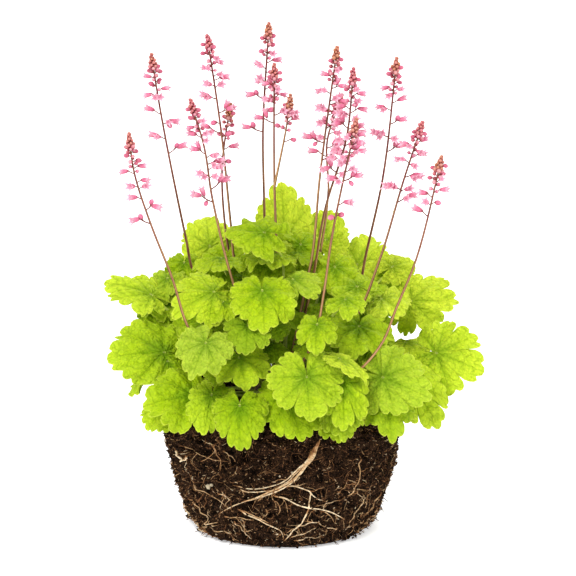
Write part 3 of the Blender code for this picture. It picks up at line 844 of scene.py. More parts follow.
def stemMaterial():
    # olive low down, reddish brown above and maroon among the flowers, in fine streaks, with a
    # tan side
    look = flowerColours
    material, tree = newMaterial("flowerStalk")
    height, green, sunny = parts(tree, mark(tree, "stemTone"))
    streaks = streaked(tree, 1100.0, (1.0, 1.0, 0.06))
    height = plus(tree, height, times(tree, minus(tree, mottled(tree, 60.0), 0.5), 0.25))
    sunny = times(tree, ramp(tree, sunny, 0.72, 1.0), ramp(tree, height, 0.3, 0.95, 0.75, 0.1))
    colour = layered(
        tree, look["stemLow"],
        (ramp(tree, height, 0.05, 0.5), look["stemMiddle"]),
        (ramp(tree, height, 0.5, 0.85), look["stemHigh"]),
        (times(tree, streaks, 0.22), look["stemLight"]),
        (sunny, look["stemSunny"]),
        (green, look["bract"]),
    )
    setShader(tree, colour, 0.55, 0.2, (streaks, 0.3, 0.00012))
    return material


def petalMaterial():
    # maroon at the foot, rose along the bell and pale at the lips; the head's buds are coral to
    # brown with lighter tips
    look = flowerColours
    material, tree = newMaterial("petals")
    along, head, brown = parts(tree, mark(tree, "petalTone"))
    streaks = streaked(tree, 900.0, (1.0, 1.0, 1.0))
    bud = blend(tree, brown, look["headBud"], look["brownBud"])
    tip = blend(tree, brown, look["headTip"], look["brownTip"])
    colour = layered(
        tree, look["foot"],
        (ramp(tree, along, 0.0, 0.32), look["bell"]),
        (ramp(tree, along, 0.42, 0.9), look["lip"]),
        (times(tree, streaks, 0.2), look["lip"]),
        (head, blend(tree, ramp(tree, along, 0.25, 0.95, 0.0, 0.75), bud, tip)),
    )
    colour = tinted(tree, colour, mottled(tree, 260.0, 0.5), *look["petalTints"])
    setShader(tree, colour, 0.55, 0.2, (streaks, 0.35, 0.0001))
    addTranslucence(tree, colour, look["throughLight"])
    return material


flowerStalk = stemMaterial()
petals = petalMaterial()


# Flower stems
# name: points up the stem above the crown, how brown its head is, and its flowers as signs.
# A sign holds the mm below the tip, left (-) or right (+), the side stalk's mm, and what it
# carries: B an open bell, F one that faces the front, o a closed one, v a green bract

flowerStems = {
    "flower_stem_1": (
        ((-70, -84, 179), (-84, -85, 222), (-100, -84, 264), (-112, -80, 302), (-116, -78, 332)), 0.35,
        "12-2o 15+2o 18-2o 22+3o 27+4B 31-5B 38+4B 42-2F 43+3F 51-4B 60+6Bo 71-10Bo",
    ),
    "flower_stem_2": (
        ((-71, 15, 204), (-77, 18, 231), (-95, 20, 325), (-104, 22, 381)), 0.45,
        "12+2o 15-3o 16+3o 20-3B 23+2o 26-2o 30+4B 35-5B 36+1F 38-2F 49-6B 57+6BFo 69-6BF 81+8Bo",
    ),
    "flower_stem_3": (
        ((-38, 11, 215), (-41, 11, 245), (-48, 8, 319), (-59, 8, 398)), 0.1,
        "10-3o 12+3o 17-4o 19+2F 25+5B 30-4BF 34+3F 37+5B 42-2F 43+3F 52-7BF 63+7BB "
        "72-3o 80-10BF 83+3o",
    ),
    "flower_stem_4": (
        ((-37, -42, 205), (-54, -46, 277), (-60, -46, 317), (-71, -42, 353)), 0.1,
        "10-3o 11+3o 17-3o 20+3F 24-4B 29+3F 31-5B 34+2F 44-6BB 47+3F 52+6BF "
        "56+5B 61-4FF 63+3F 72+10BB 82-12BBo",
    ),
    "flower_stem_5": (
        ((-42, 32, 215), (-46, 30, 240), (-48, 26, 290), (-41, 24, 341)), 0.95,
        "10+3o 13-2o 20+3o 26+3o 27-3o 38+5B 44-4o 49+3o",
    ),
    "flower_stem_6": (
        ((-14, 16, 226), (-14, 14, 248), (-15, 10, 322), (-10, 8, 407)), 0.6,
        "12+2o 14-3o 19+2o 24-3o 25+2F 32+5B 37-5BF 40+2F 47-3FF 48+2F 53+4B 61-8Bo "
        "63+3F 72+4o 87-10Bo",
    ),
    "flower_stem_7": (
        ((-4, -10, 226), (-5, -10, 251), (-6, -10, 286), (-6, -10, 377)), 0.35,
        "9+3o 12-2o 15+3o 18-4B 21+2F 27+6B 30-1F 31-4F 41+8BF 47-9BB 96-3v",
    ),
    "flower_stem_9": (
        ((21, -18, 210), (24, -20, 226), (30, -24, 292), (43, -26, 392)), 0.75,
        "11+3o 13-3o 18+3o 20+2F 25-4Bo 28+2o 33+6BB 37-6BF 43+3F 46+8BB 50-3FF 51-4F "
        "54+6BF 59-2F 65+8BF 76-10BBo 90+13BBF",
    ),
    "flower_stem_10": (
        ((24, -30, 208), (34, -40, 268), (50, -46, 324), (55, -48, 378)), 0.1,
        "11+4o 16+2F 18-3o 22+5B 27+2F 32-4B 35+7BB 37-5BF 42+4F 47-7BB 48+6B "
        "53+7BF 58-3F 61+6BF 65-3FF 72+2FF 73-3F 83-9BB 85+4F",
    ),
    "flower_stem_11": (
        ((27, -84, 180), (33, -82, 214), (38, -78, 250), (57, -76, 343)), 0.6,
        "9+3o 13-2o 15+4B 18-3F 21+5B 27+6BBF 31-3F 36-2FF 42+4F 49+9BBo 51-6BF 68+6B 77+3o 78-2o",
    ),
    "flower_stem_12": (
        ((29, 12, 214), (37, 10, 272), (36, 10, 313), (48, 10, 350)), 0.3,
        "8+3o 10-3o 16-4B 18+4B 24+5BF 28-5BB 34+4F 38-3F 45+7BB 52-8B",
    ),
    "flower_stem_13": (
        ((61, -8, 196), (66, -6, 220), (80, -5, 287), (90, -5, 381)), 0.6,
        "9+2o 11-2o 15-3o 16+2o 21+3o 26-4B 27+3F 29-1F 36+5B 42-6BF 53+7Bo 63-10BFF 65+3F 75+8Bo",
    ),
    "flower_stem_14": (
        ((56, -36, 175), (76, -52, 229), (94, -60, 294), (108, -64, 339)), 0.1,
        "10-3o 11+3o 14-2o 19+5B 21-6BF 25+2F 30+6B 34-6BF 36+2F 46+7BF 56-10BFF 58+3F 67+10BF 76-4v",
    ),
    "flower_stem_15": (
        (
            (50, -73, 145), (61, -103, 155), (77, -98, 174), (87, -92, 198), (103, -82, 236),
            (122, -78, 315),
        ),
        0.65,
        "9+3o 11-3o 16+3o 20-4o 21+3F 29+5B 33-5B 38+3o 39-2F 48-6B 88+4v",
    ),
}

# the second branch of the stem that forks
forkedStem = "flower_stem_7"
fork = (
    ((-6, -10, 279), (-4, -12, 289), (4, -13, 330), (7, -13, 353)), 0.8,
    "10-2o 13-3o 14+2F 16+3F 19+3o 22+4B 28-5o 38+6o 74+3v",
)

flowerShape = {
    "stemFoot": 1.3,
    "stemTip": 0.68,
    "forkShare": 0.8,        # thickness of the fork's second branch beside the first
    "stemSides": 8,
    "stemRings": 46,
    "sunnySide": (-150.0, 0.0),    # bearings between which the tan side of a stem faces
    "bellSizes": (0.95, 1.2),      # of the bells next to the head, and of the lowest
    "bellPlaces": (10, 55),        # mm below the tip where they have these sizes
    "closedSize": 1.2,
    "twig": 0.38,            # thickness of a side stalk, and what each mm of length adds
    "twigGrowth": 0.018,
    "fineTwig": 0.34,
    "twigSag": 0.06,
    "headLength": 14.0,
    "headBuds": 24,
    "budTurn": 137.5,        # degrees from one bud of the spiral to the next
    "looseBuds": 8,
    "looseTurn": 150.0,
    "looseReach": 17.0,      # mm of stem below the head that carry them
}

# shapes that point along +Z: distance out along the axis and radius, and for the bell how much
# further its five lips push along and out
bellRows = (
    (0.3, 0.7, 0, 0), (1.1, 1.25, 0, 0), (2.6, 1.65, 0, 0), (4.4, 1.85, 0, 0), (5.4, 1.8, 0.3, 0.2),
    (6.0, 1.85, 1.0, 1.2), (6.2, 1.75, 1.8, 2.2), (5.9, 1.5, 0.9, 1.1), (5.5, 1.25, 0.1, 0.1),
    (5.1, 0.7, 0, 0),
)
closedRows = ((0.25, 0.65), (1.0, 1.25), (2.1, 1.55), (3.2, 1.25), (3.9, 0.55))
budRows = ((0.2, 0.7), (0.9, 1.3), (1.8, 1.45), (2.6, 1.0), (3.0, 0.45))
bractRows = ((0.2, 0.5), (1.6, 1.0), (3.4, 0.75), (5.2, 0.15))
crumbRows = ((-0.75, 0.66), (0.0, 1.0), (0.75, 0.66))


def smoothPath(points, perSpan=24):
    # a curve through the points: each span leaves and arrives along the mean direction of the
    # spans beside it, in proportion to its own length
    points = np.array(points, dtype=float)
    spans = unit(points[1:] - points[:-1])
    slopes = np.concatenate([spans[:1], (spans[1:] + spans[:-1]) / 2, spans[-1:]])
    reach = np.linalg.norm(points[1:] - points[:-1], axis=1)[:, None]
    leave, arrive = slopes[:-1] * reach / 3, slopes[1:] * reach / 3
    a, d = points[:-1, None], points[1:, None]
    t = np.linspace(0, 1, perSpan + 1)[None, 1:, None]
    curve = bezier(a, a + leave[:, None], d - arrive[:, None], d, t)
    return np.concatenate([points[:1], curve.reshape(-1, 3)])


def travelled(path):
    # the distance along a path at each of its points
    return np.append(0, np.cumsum(np.linalg.norm(np.diff(path, axis=0), axis=1)))


def alongPath(path, places):
    # points of a path at distances along it
    return threes(*(np.interp(places, travelled(path), path[:, k]) for k in range(3)))


def helpers(axes):
    # for each direction +X where it is nearly upright and +Z elsewhere, so never along it
    return np.where(np.abs(axes[..., 2:]) > 0.8, [1.0, 0, 0], upward)


def placeShapes(shape, origins, axes, sizes):
    # copies of a shape made about +Z, each turned to its axis, scaled and moved to its origin
    axes = unit(axes)
    right = unit(np.cross(helpers(axes), axes))
    ahead = np.cross(axes, right)
    frames = np.stack([right, ahead, axes], axis=1)
    return np.einsum("npk,nkj->npj", shape[None] * sizes[:, None, None], frames) + origins[:, None]


def roundShape(rows, columns, close, lobes=0):
    # rings round +Z, whose rim goes further along and out at each of its lobes, closed by a
    # point that lies close past the last ring
    rows = np.array(rows)
    angle = np.arange(columns) * math.tau / columns
    along, radius = rows[:, 0, None], rows[:, 1, None]
    if lobes:
        lip = np.maximum(np.cos(lobes * angle), 0)
        along, radius = along + rows[:, 2, None] * lip, radius + rows[:, 3, None] * lip
    rings = threes(radius * np.cos(angle), radius * np.sin(angle), along)
    return closedGrid(rings, upward * (rows[0, 0] - 0.3), upward * (rows[-1, 0] + close))


bellShape = roundShape(bellRows, 10, -0.6, 5)
closedShape = roundShape(closedRows, 8, 0.2)
budShape = roundShape(budRows, 7, 0.2)
crumbShape = roundShape(crumbRows, 6, 0.3)
bractPoints, *bractFaces = roundShape(bractRows, 6, 0.2)
bractShape = (bractPoints * [1.0, 0.25, 1.0], *bractFaces)


def addShapes(piece, shape, placed, reach, skin, green=0.0):
    # copies of a shape placed as (origin, axis, size, head share, brownness), where reach is
    # how far along the petal colours their tips come
    points, quads, tris = shape
    origins, axes, sizes, heads, browns = (np.array(column, dtype=float) for column in zip(*placed))
    copies = placeShapes(points, origins, axes, sizes)
    count, size = len(origins), len(points)
    along = np.tile(np.clip(points[:, 2] / points[:, 2].max(), 0, 1) * reach, count)
    piece.add(
        copies.reshape(-1, 3), *copied(count, size, quads, tris), skin,
        petalTone=threes(along, np.repeat(heads, size), np.repeat(browns, size)),
        stemTone=(1.0, green, 0.0),
    )


def addTwigs(piece, twigs):
    # short side stalks, as (start, end, thickness), that sag a little on their way
    starts, ends, thick = (np.array(column) for column in zip(*twigs))
    t = np.linspace(0, 1, 5)[:, None]
    paths = starts[:, None] * (1 - t) + ends[:, None] * t
    sag = flowerShape["twigSag"] * np.linalg.norm(ends - starts, axis=1)[:, None]
    paths[..., 2] -= sag * np.sin(math.pi * t[:, 0])
    radii = np.repeat(thick[:, None], 5, axis=1)
    points, quads, tris, _ = tubes(paths, radii, 5, helpers(unit(ends - starts))[:, None])
    piece.add(points, quads, tris, 0, stemTone=(1.0, 0.0, 0.0), petalTone=blank)


def growBranch(sign, path, rng, grown):
    # one side stalk with its flowers, added to the lists in grown
    look = flowerShape
    below, side, reach, kinds = re.fullmatch(r"(\d+)([+-])(\d+)(\w+)", sign).groups()
    side = 1.0 if side == "+" else -1.0
    below, reach = float(below), float(reach)
    place = travelled(path)[-1] - below
    at, ahead = alongPath(path, [place, place + 2.0])
    turn = rng.uniform(-0.7, 0.7)
    outward = np.array([side * math.cos(turn), math.sin(turn), 0])
    way = unit(outward + unit(ahead - at) * rng.uniform(0.4, 0.75))
    end = at + way * reach
    if kinds == "v":
        size = rng.uniform(0.8, 1.0) * reach / 4
        grown["v"].append((at, unit(way + upward * 1.5), size, 0.0, 0.0))
        return
    young, old = look["bellSizes"]
    size = young + (old - young) * smoothStep(*look["bellPlaces"], below)
    grown["twigs"].append((at, end, look["twig"] + look["twigGrowth"] * reach))
    for k, kind in enumerate(kinds):
        scale = size * rng.uniform(0.9, 1.08) * (0.9 if k else 1.0)
        scale = scale * (look["closedSize"] if kind == "o" else 1.0)
        foot = at + way * reach * (0.85 - 0.2 * k) if k else end
        if kind == "F":
            aim = unit(np.array([side * rng.uniform(0.1, 0.7), -0.9, rng.uniform(-0.2, 0.35)]))
        elif k == 0:
            aim = unit(outward + upward * rng.uniform(-0.25, 0.35))
        else:
            aim = unit(outward * rng.uniform(0.1, 0.7) + upward * (0.9 if k == 1 else -0.5))
        if k > 0 or kind == "F":
            start, foot = foot, foot + aim * rng.uniform(1.0, 2.2)
            grown["twigs"].append((start, foot, look["fineTwig"]))
        dusky = 0.45 * (1 - smoothStep(12, 50, below)) if kind == "o" else 0.0
        grown["o" if kind == "o" else "B"].append((foot - aim * 0.3, aim, scale, dusky, 0.0))


def growHead(path, brown, rng, grown):
    # a blunt, knobbly spike of tight buds in a spiral, closing in only at its tip, and looser
    # pairs below it
    look = flowerShape
    foot = travelled(path)[-1] - look["headLength"]
    for k in range(look["headBuds"]):
        f = k / (look["headBuds"] - 1)
        at = alongPath(path, foot + (look["headLength"] - 1.2) * f)
        angle = math.radians(look["budTurn"] * k)
        side = unit(np.array([math.cos(angle), math.sin(angle), 0.45 + 1.9 * f**3]))
        size = (1.1 - 0.4 * f**1.5) * rng.uniform(0.78, 1.2)
        share = smoothStep(-0.25, 0.35, f) * rng.uniform(0.8, 1.0)
        own = np.clip(brown * 1.1 + rng.uniform(-0.2, 0.2), 0, 1)
        out = (0.9 - 0.8 * f**4) * rng.uniform(0.7, 1.2)
        grown["head"].append((at + side * out, side, size, share, own))
    for k in range(look["looseBuds"]):
        f = k / look["looseBuds"]
        at = alongPath(path, foot - 1.0 - look["looseReach"] * f**1.3)
        angle = math.radians(look["looseTurn"] * k) + rng.uniform(-0.4, 0.4)
        side = unit(np.array([math.cos(angle), math.sin(angle), rng.uniform(0.1, 0.6)]))
        size = rng.uniform(1.0, 1.25)
        grown["twigs"].append((at, at + side * 1.4, look["fineTwig"]))
        grown["head"].append((at + side * 1.2, side, size, 0.7 - 0.6 * f, brown * 0.8))


def growStem(piece, points, brown, signs, rng, fromCrown=True):
    look = flowerShape
    points = np.array(points, dtype=float)
    if fromCrown:
        points = np.concatenate([[footOnCrown(points[0])[0]], points])
    path = smoothPath(points)
    whole = travelled(path)[-1]
    places = np.linspace(0, whole - 3.0, look["stemRings"])
    line = alongPath(path, places)
    radii = look["stemFoot"] + (look["stemTip"] - look["stemFoot"]) * places / whole
    radii = radii * (1 if fromCrown else look["forkShare"])
    points, quads, tris, along = tubes(line[None], radii[None], look["stemSides"], (0.0, 1.0, 0.0))
    turn = np.tile(np.arange(look["stemSides"]) * math.tau / look["stemSides"], len(line))
    sunny = 0.5 + 0.5 * np.cos(turn - math.radians(rng.uniform(*look["sunnySide"])))
    tone = threes(along, 0.0, np.append(sunny, [0, 0]))
    piece.add(points, quads, tris, 0, stemTone=tone, petalTone=blank)
    grown = {"twigs": [], "B": [], "o": [], "v": [], "head": []}
    for sign in signs.split():
        growBranch(sign, path, rng, grown)
    growHead(path, brown, rng, grown)
    addTwigs(piece, grown["twigs"])
    addShapes(piece, budShape, grown["head"], 1.0, 1)
    for key, shape, reach, skin, green in (
        ("B", bellShape, 1.0, 1, 0.0),
        ("o", closedShape, 0.66, 1, 0.0),
        ("v", bractShape, 1.0, 0, 1.0),
    ):
        if grown[key]:
            addShapes(piece, shape, grown[key], reach, skin, green)


for seed, (name, stem) in enumerate(flowerStems.items(), 500):
    rng = np.random.default_rng(seed)
    piece = Piece(name.replace("stem", "spray"))
    growStem(piece, *stem, rng)
    if name == forkedStem:
        growStem(piece, *fork, rng, fromCrown=False)
    piece.make((flowerStalk, petals), (name,), sharp=70)
print("flower stems grown:", len(flowerStems))


# Root ball materials

soilColours = {
    "dark": (0.003, 0.002, 0.0013),
    "brown": (0.080, 0.040, 0.021),
    "fleck": (0.36, 0.19, 0.09),
    "bark": (0.15, 0.066, 0.030),
    "rust": (0.40, 0.20, 0.085),
    "straw": (0.66, 0.44, 0.23),
    "cream": (0.90, 0.76, 0.53),
    "streakTints": ((0.68, 0.6, 0.52), (1.1, 1.08, 1.06)),
    "crownDark": (0.05, 0.028, 0.015),
    "crownLight": (0.26, 0.16, 0.08),
    "crownMoss": (0.10, 0.10, 0.03),
}


def soilMaterial():
    # dark crumbs, brown clods and lighter flecks, all as noise at three sizes
    look = soilColours
    material, tree = newMaterial("rootedSoil")
    dipShadeAndDark, chip, _ = parts(tree, mark(tree, "soilTone"))
    clods = mottled(tree, 170.0, 0.65, 0.1)
    grains = mottled(tree, 560.0, 0.4, 0.1)
    inputs = {"Vector": objectPlace(tree), "Scale": 520.0}
    spots = addNode(tree, "ShaderNodeTexVoronoi", inputs).outputs["Distance"]
    fleck = times(tree, ramp(tree, spots, 0.16, 0.27, 1.0, 0.0), ramp(tree, clods, 0.3, 0.8))
    colour = layered(
        tree, look["dark"],
        (clods, look["brown"]),
        (times(tree, grains, 0.5), look["dark"]),
        (times(tree, fleck, 0.9), look["fleck"]),
        # painted shade in the ball's sunk places, and the crumbs' own random darkness
        (times(tree, dipShadeAndDark, 0.8), look["dark"]),
        (ramp(tree, chip, 0.0, 0.5), look["rust"]),
        (ramp(tree, chip, 0.5, 1.0), look["cream"]),
    )
    height = plus(tree, grains, times(tree, clods, 0.8))
    setShader(tree, colour, 0.95, 0.03, (height, 0.9, 0.0011))
    return material


def rootMaterial():
    # each root's own tone from soil dark through bark, rust and straw to cream, with streaks
    # along it and soil stains
    look = soilColours
    material, tree = newMaterial("rootStraw")
    streaks = streaked(tree, 700.0, (0.5, 0.5, 1.2))
    stain = times(tree, mottled(tree, 260.0, 0.4, 0.14), 0.2)
    pale = minus(tree, parts(tree, mark(tree, "rootTone"))[0], stain)
    colour = layered(
        tree, look["dark"],
        (ramp(tree, pale, 0.0, 0.25), look["bark"]),
        (ramp(tree, pale, 0.2, 0.45), look["rust"]),
        (ramp(tree, pale, 0.4, 0.65), look["straw"]),
        (ramp(tree, pale, 0.6, 0.85), look["cream"]),
    )
    colour = tinted(tree, colour, streaks, *look["streakTints"])
    setShader(tree, colour, 0.7, 0.08, (streaks, 0.6, 0.0002))
    return material


def crownMaterial():
    # woody brown with dark creases
    look = soilColours
    material, tree = newMaterial("crownWood")
    streaks = streaked(tree, 330.0, (1.0, 1.0, 0.25))
    moss = times(tree, mottled(tree, 160.0, contrast=0.18), 0.5)
    colour = layered(tree, look["crownDark"], (streaks, look["crownLight"]), (moss, look["crownMoss"]))
    setShader(tree, colour, 0.85, 0.25, (streaks, 0.8, 0.0008))
    return material


rootedSoil = soilMaterial()
rootStraw = rootMaterial()
crownWood = crownMaterial()
print("root materials made")


# Root ball

ballShape = {
    # height and radius up the pot's side
    "profile": ((0, 66), (4, 71), (14, 76.5), (36, 82.5), (62, 89), (88, 95), (101, 97), (107, 93)),
    "height": 108.0,
    "sideHeight": 106.5,
    "topRadius": 93.0,
    "topDip": 1.2,           # mm that the top lies lower than its height
    "bump": 1.6,
    "columns": 420,
    "underRadii": (22.0, 44.0, 58.0, 63.5),
    "sideRows": 104,
    "topRows": 20,
    "clods": ((26.0, 1.4), (10.0, 2.1), (4.6, 2.0), (2.3, 1.1)),     # size and depth of each
    # painted shade: the soil darkens where its surface lies sunk
    "shadedDipDepths": (0.6, -2.6),     # depths where the soil starts to darken and is darkest
}


def ballRadius(bearing, height):
    # the moulded side: the pot's profile, with two slow waves round it
    heights, radii = np.array(ballShape["profile"], dtype=float).T
    side = np.interp(height, heights, radii)
    angle = np.radians(bearing)
    wave = np.sin(3 * angle + height / 19) + 0.6 * np.sin(7 * angle - height / 13 + 1.0)
    return side + ballShape["bump"] * wave * np.minimum(height / 20, 1.0)


def clodDepth(points):
    # how far the crumbly surface stands out at a point: noise at four sizes, the finer ones
    # made ridged so that crumbs meet in sharp dips
    depth = 0.0
    for number, (size, amount) in enumerate(ballShape["clods"]):
        part = cellNoise(points, size, 20 + number)
        if number > 0:
            part = 1 - 2 * np.abs(part) ** 0.8
        depth = depth + amount * part
    return depth


def ballSurface(bearing, height, rise=0.0):
    # a point on the crumbly side of the ball, lifted by rise
    radius = ballRadius(bearing, height)
    plain = onBearing(bearing, radius, height)
    return onBearing(bearing, radius + clodDepth(plain) + rise, height)


def growRootBall():
    # one closed grid from the middle of the flat underside, up the side and over the top
    look = ballShape
    columns = look["columns"]
    bearing = np.arange(columns) * 360 / columns
    under = onBearing(bearing, np.array(look["underRadii"])[:, None], 0.0)
    height = np.linspace(0.0, look["sideHeight"], look["sideRows"])[:, None]
    radius = ballRadius(bearing, height)
    # the clods stand out less near the underside, and also push the side up a little
    sideDepth = clodDepth(onBearing(bearing, radius, height))
    sideDepth = sideDepth * (0.25 + 0.75 * np.minimum(height / 6, 1.0))
    lifted = np.maximum(height + 0.25 * sideDepth * np.minimum(height / 5, 1.0), 0.0)
    side = onBearing(bearing, radius + sideDepth, lifted)
    share = np.linspace(0, 1, look["topRows"] + 2)[1:-1, None]
    top = onBearing(bearing, (look["topRadius"] - 1.0) * (1 - share) + 1.0, look["height"])
    topDepth = clodDepth(top)
    top = top + upward * (topDepth - look["topDip"])[..., None]
    rings = np.concatenate([under, side, top])
    # painted shade by how far the surface lies sunk
    shadedDips = smoothStep(*look["shadedDipDepths"], np.concatenate([sideDepth, topDepth]))
    shadedDips = np.concatenate([np.zeros(under[..., 0].size), shadedDips.ravel(), [0, 0]])
    piece = Piece("rooted_soil_ball")
    piece.add(*closedGrid(rings, blank, upward * look["height"]), 0, soilTone=threes(shadedDips))
    piece.make((rootedSoil,), ("root_ball",), sharp=180)


growRootBall()


def growCrown():
    # the woody stock: a lumpy dome with old leaf bases standing out in rows round it
    columns, rows, rowStep = 72, 22, 16
    bearing = np.arange(columns) * 360 / columns
    rise = np.linspace(-4, 84, rows)[:, None]
    plain = crownPoint(bearing, rise)
    bases = np.maximum(np.sin(np.radians(bearing * 9) + np.round(rise / rowStep) * 2.4), 0)
    bases = bases * np.abs(np.sin(np.radians(rise * 180 / rowStep)))
    lumps = 1.6 * bases + 1.3 * cellNoise(plain, 5.0, 40)
    rings = plain + unit(plain - upward * 100) * lumps[..., None]
    piece = Piece("crown_stock")
    piece.add(*closedGrid(rings, upward * 107, upward * 131), 0)
    piece.make((crownWood,), ("crown",), sharp=180)


growCrown()
print("root ball and crown made")


# Roots
# each route is bearings and heights on the side of the ball; node roots keep their nodes' routes

# paleness, and each strand's route, radii at both ends and lift
nodeRoots = {
    "root_thick": (0.8, (
        (((-75, 91), (-78, 77), (-82, 66), (-90, 56), (-101, 48), (-113, 41)), (0.95, 0.4), 1.9),
        (
            (
                (-74, 95), (-76, 80), (-81, 66), (-89, 55), (-100, 47), (-110, 42), (-119, 35),
                (-127, 27),
            ),
            (0.8, 0.3), 1.3,
        ),
        (((-76, 88), (-80, 73), (-86, 62), (-93, 54), (-104, 46)), (0.65, 0.3), 1.1),
        (((-73, 97), (-75, 83), (-80, 69), (-87, 59), (-96, 51)), (0.55, 0.3), 1.5),
    )),
    "root_cross": (0.86, (
        (((-96, 48), (-88, 45), (-80, 39), (-71, 36), (-61, 30), (-52, 22)), (0.62, 0.38), 1.0),
    )),
    "root_fork": (0.92, ((((-76, 36), (-79, 26), (-84, 18), (-89, 9)), (0.62, 0.42), 1.1),)),
    "root_side": (0.72, (
        (((-51, 78), (-50, 68), (-49, 54), (-51, 45), (-56, 40)), (0.48, 0.34), 0.9),
    )),
}

# the other roots that show on the front, as route, radii at both ends, lift and paleness
frontRoots = (
    (
        ((-75, 86), (-80, 76), (-86, 65), (-94, 56), (-103, 54), (-110, 55), (-115, 56)),
        (0.62, 0.32), 1.2, 0.9,
    ),
    (((-90, 56), (-81, 55), (-76, 52), (-73, 46), (-66, 41)), (0.6, 0.32), 0.8, 0.88),
    (((-90, 54), (-100, 51), (-112, 54)), (0.5, 0.28), 0.8, 0.84),
    (((-75, 52), (-75, 43), (-76, 35)), (0.5, 0.6), 0.9, 0.86),
    (((-56, 40), (-65, 38), (-72, 37)), (0.34, 0.24), 0.6, 0.74),
    (((-50, 44), (-45, 45), (-39, 44)), (0.34, 0.24), 0.6, 0.66),
    (((-40, 42), (-41, 32), (-47, 21)), (0.45, 0.3), 0.7, 0.78),
    (((-35, 40), (-37, 29), (-38, 18)), (0.42, 0.28), 0.7, 0.7),
    (((-24, 36), (-28, 24), (-36, 12)), (0.45, 0.3), 0.7, 0.66),
    (((-22, 12), (-39, 6)), (0.4, 0.3), 0.6, 0.7),
    (((-70, 24), (-64, 18), (-55, 14)), (0.4, 0.26), 0.6, 0.8),
    (((-81, 22), (-74, 24), (-68, 23)), (0.34, 0.26), 0.6, 0.84),
    (((-85, 13), (-76, 16)), (0.34, 0.24), 0.6, 0.8),
    (((-83, 8), (-73, 10), (-64, 9)), (0.42, 0.28), 0.6, 0.82),
    (((-114, 35), (-108, 29), (-100, 25), (-94, 22), (-90, 17), (-89, 10)), (0.62, 0.3), 1.0, 0.84),
    (((-112, 34), (-103, 28), (-96, 24)), (0.5, 0.3), 0.7, 0.72),
    (((-123, 27), (-115, 27), (-106, 26)), (0.38, 0.24), 0.6, 0.7),
    (((-117, 24), (-114, 17), (-111, 10)), (0.38, 0.26), 0.6, 0.78),
    (((-112, 27), (-112, 14)), (0.32, 0.22), 0.5, 0.72),
    (((-157, 30), (-142, 27), (-137, 22), (-139, 14)), (0.42, 0.28), 0.7, 0.74),
    (((-149, 31), (-150, 24)), (0.36, 0.24), 0.6, 0.66),
    (((-140, 8), (-128, 11), (-117, 12)), (0.42, 0.28), 0.6, 0.78),
    (((-124, 47), (-120, 45), (-116, 43)), (0.42, 0.28), 0.7, 0.86),
    (((-122, 49), (-119, 43)), (0.32, 0.22), 0.6, 0.8),
    (((-124, 88), (-122, 78), (-122, 65)), (0.42, 0.26), 0.7, 0.62),
    (((-122, 90), (-128, 76), (-134, 70)), (0.38, 0.24), 0.7, 0.6),
    (((-119, 84), (-116, 79), (-114, 74)), (0.4, 0.26), 0.7, 0.76),
    (((-151, 74), (-146, 67)), (1.0, 0.7), 0.9, 1.0),
    (((-141, 73), (-147, 66)), (0.8, 0.6), 0.9, 1.0),
    (((-95, 45), (-91, 38), (-92, 31)), (0.34, 0.22), 0.5, 0.68),
    (((-100, 40), (-98, 33), (-101, 28)), (0.3, 0.2), 0.5, 0.66),
    (((-68, 33), (-61, 27), (-58, 20)), (0.34, 0.22), 0.5, 0.7),
    (((-60, 47), (-57, 52), (-55, 60)), (0.28, 0.2), 0.5, 0.6),
)

rootShape = {
    "points": 34,
    "swell": 0.16,           # how unevenly thick a root is, in long waves and in short ones
    "fineSwell": 0.08,
    "sideRoots": 90,
    "sideBearings": (-30, 215),
    "rootletTip": 0.16,
    "rootletPale": (0.5, 0.85),
}


def rootPath(route, rise):
    # a smooth line through bearings and heights, then laid on the crumbly surface
    flat = smoothPath([(*place, 0) for place in route], 12)
    line = alongPath(flat, np.linspace(0, travelled(flat)[-1], rootShape["points"]))
    return ballSurface(line[:, 0], line[:, 1], rise)


def softened(path):
    # each point moved to the mean of itself and its neighbours, three times
    for _ in range(3):
        inner = (path[:-2] + path[1:-1] * 2 + path[2:]) / 4
        path = np.concatenate([path[:1], inner, path[-1:]])
    return path


def outFromAxis(paths):
    # level directions away from the plant's axis
    return unit(paths * np.array([1.0, 1.0, 0.0]))


def addRoot(piece, route, radii, lift, pale, rng, sides=7, sway=0.5):
    # a root along a route, that swells and sways a little and thins at its tip
    look = rootShape
    path = softened(rootPath(route, lift))
    phase = rng.uniform(0, math.tau, 3)
    t = np.linspace(0, 1, len(path))
    path[:, 2] += sway * np.sin(t * 9 + phase[0]) * np.sin(math.pi * t)
    swell = look["swell"] * np.sin(t * 21 + phase[1]) + look["fineSwell"] * np.sin(t * 47 + phase[2])
    radius = np.linspace(*radii, len(path)) * (1 + swell)
    radius[-3:] *= (0.8, 0.6, 0.35)
    radius[:2] *= (0.5, 0.8)
    points, quads, tris, along = tubes(path[None], radius[None], sides, outFromAxis(path))
    showing = smoothStep(0, 0.2, along) * smoothStep(1, 0.85, along)
    piece.add(points, quads, tris, 0, rootTone=threes(pale * (0.5 + 0.5 * showing), along))
    return path


def addRootlets(piece, parents, perParent, rng):
    # hair roots that leave a root and wander off over the soil
    look = rootShape
    for path in parents:
        for _ in range(perParent):
            x, y, height = path[rng.integers(3, len(path) - 3)]
            bearing = math.degrees(math.atan2(y, x))
            drift, fall = rng.uniform(-9, 9), rng.uniform(-14, 8)
            half = bearing + drift * 0.5 + rng.uniform(-1, 1)
            heights = np.clip([height + fall * 0.4, height + fall], 3, 104)
            route = (bearing, height), (half, heights[0]), (bearing + drift, heights[1])
            radii = rng.uniform(0.28, 0.42), look["rootletTip"]
            addRoot(piece, route, radii, 0.5, rng.uniform(*look["rootletPale"]), rng, 4, 0.3)


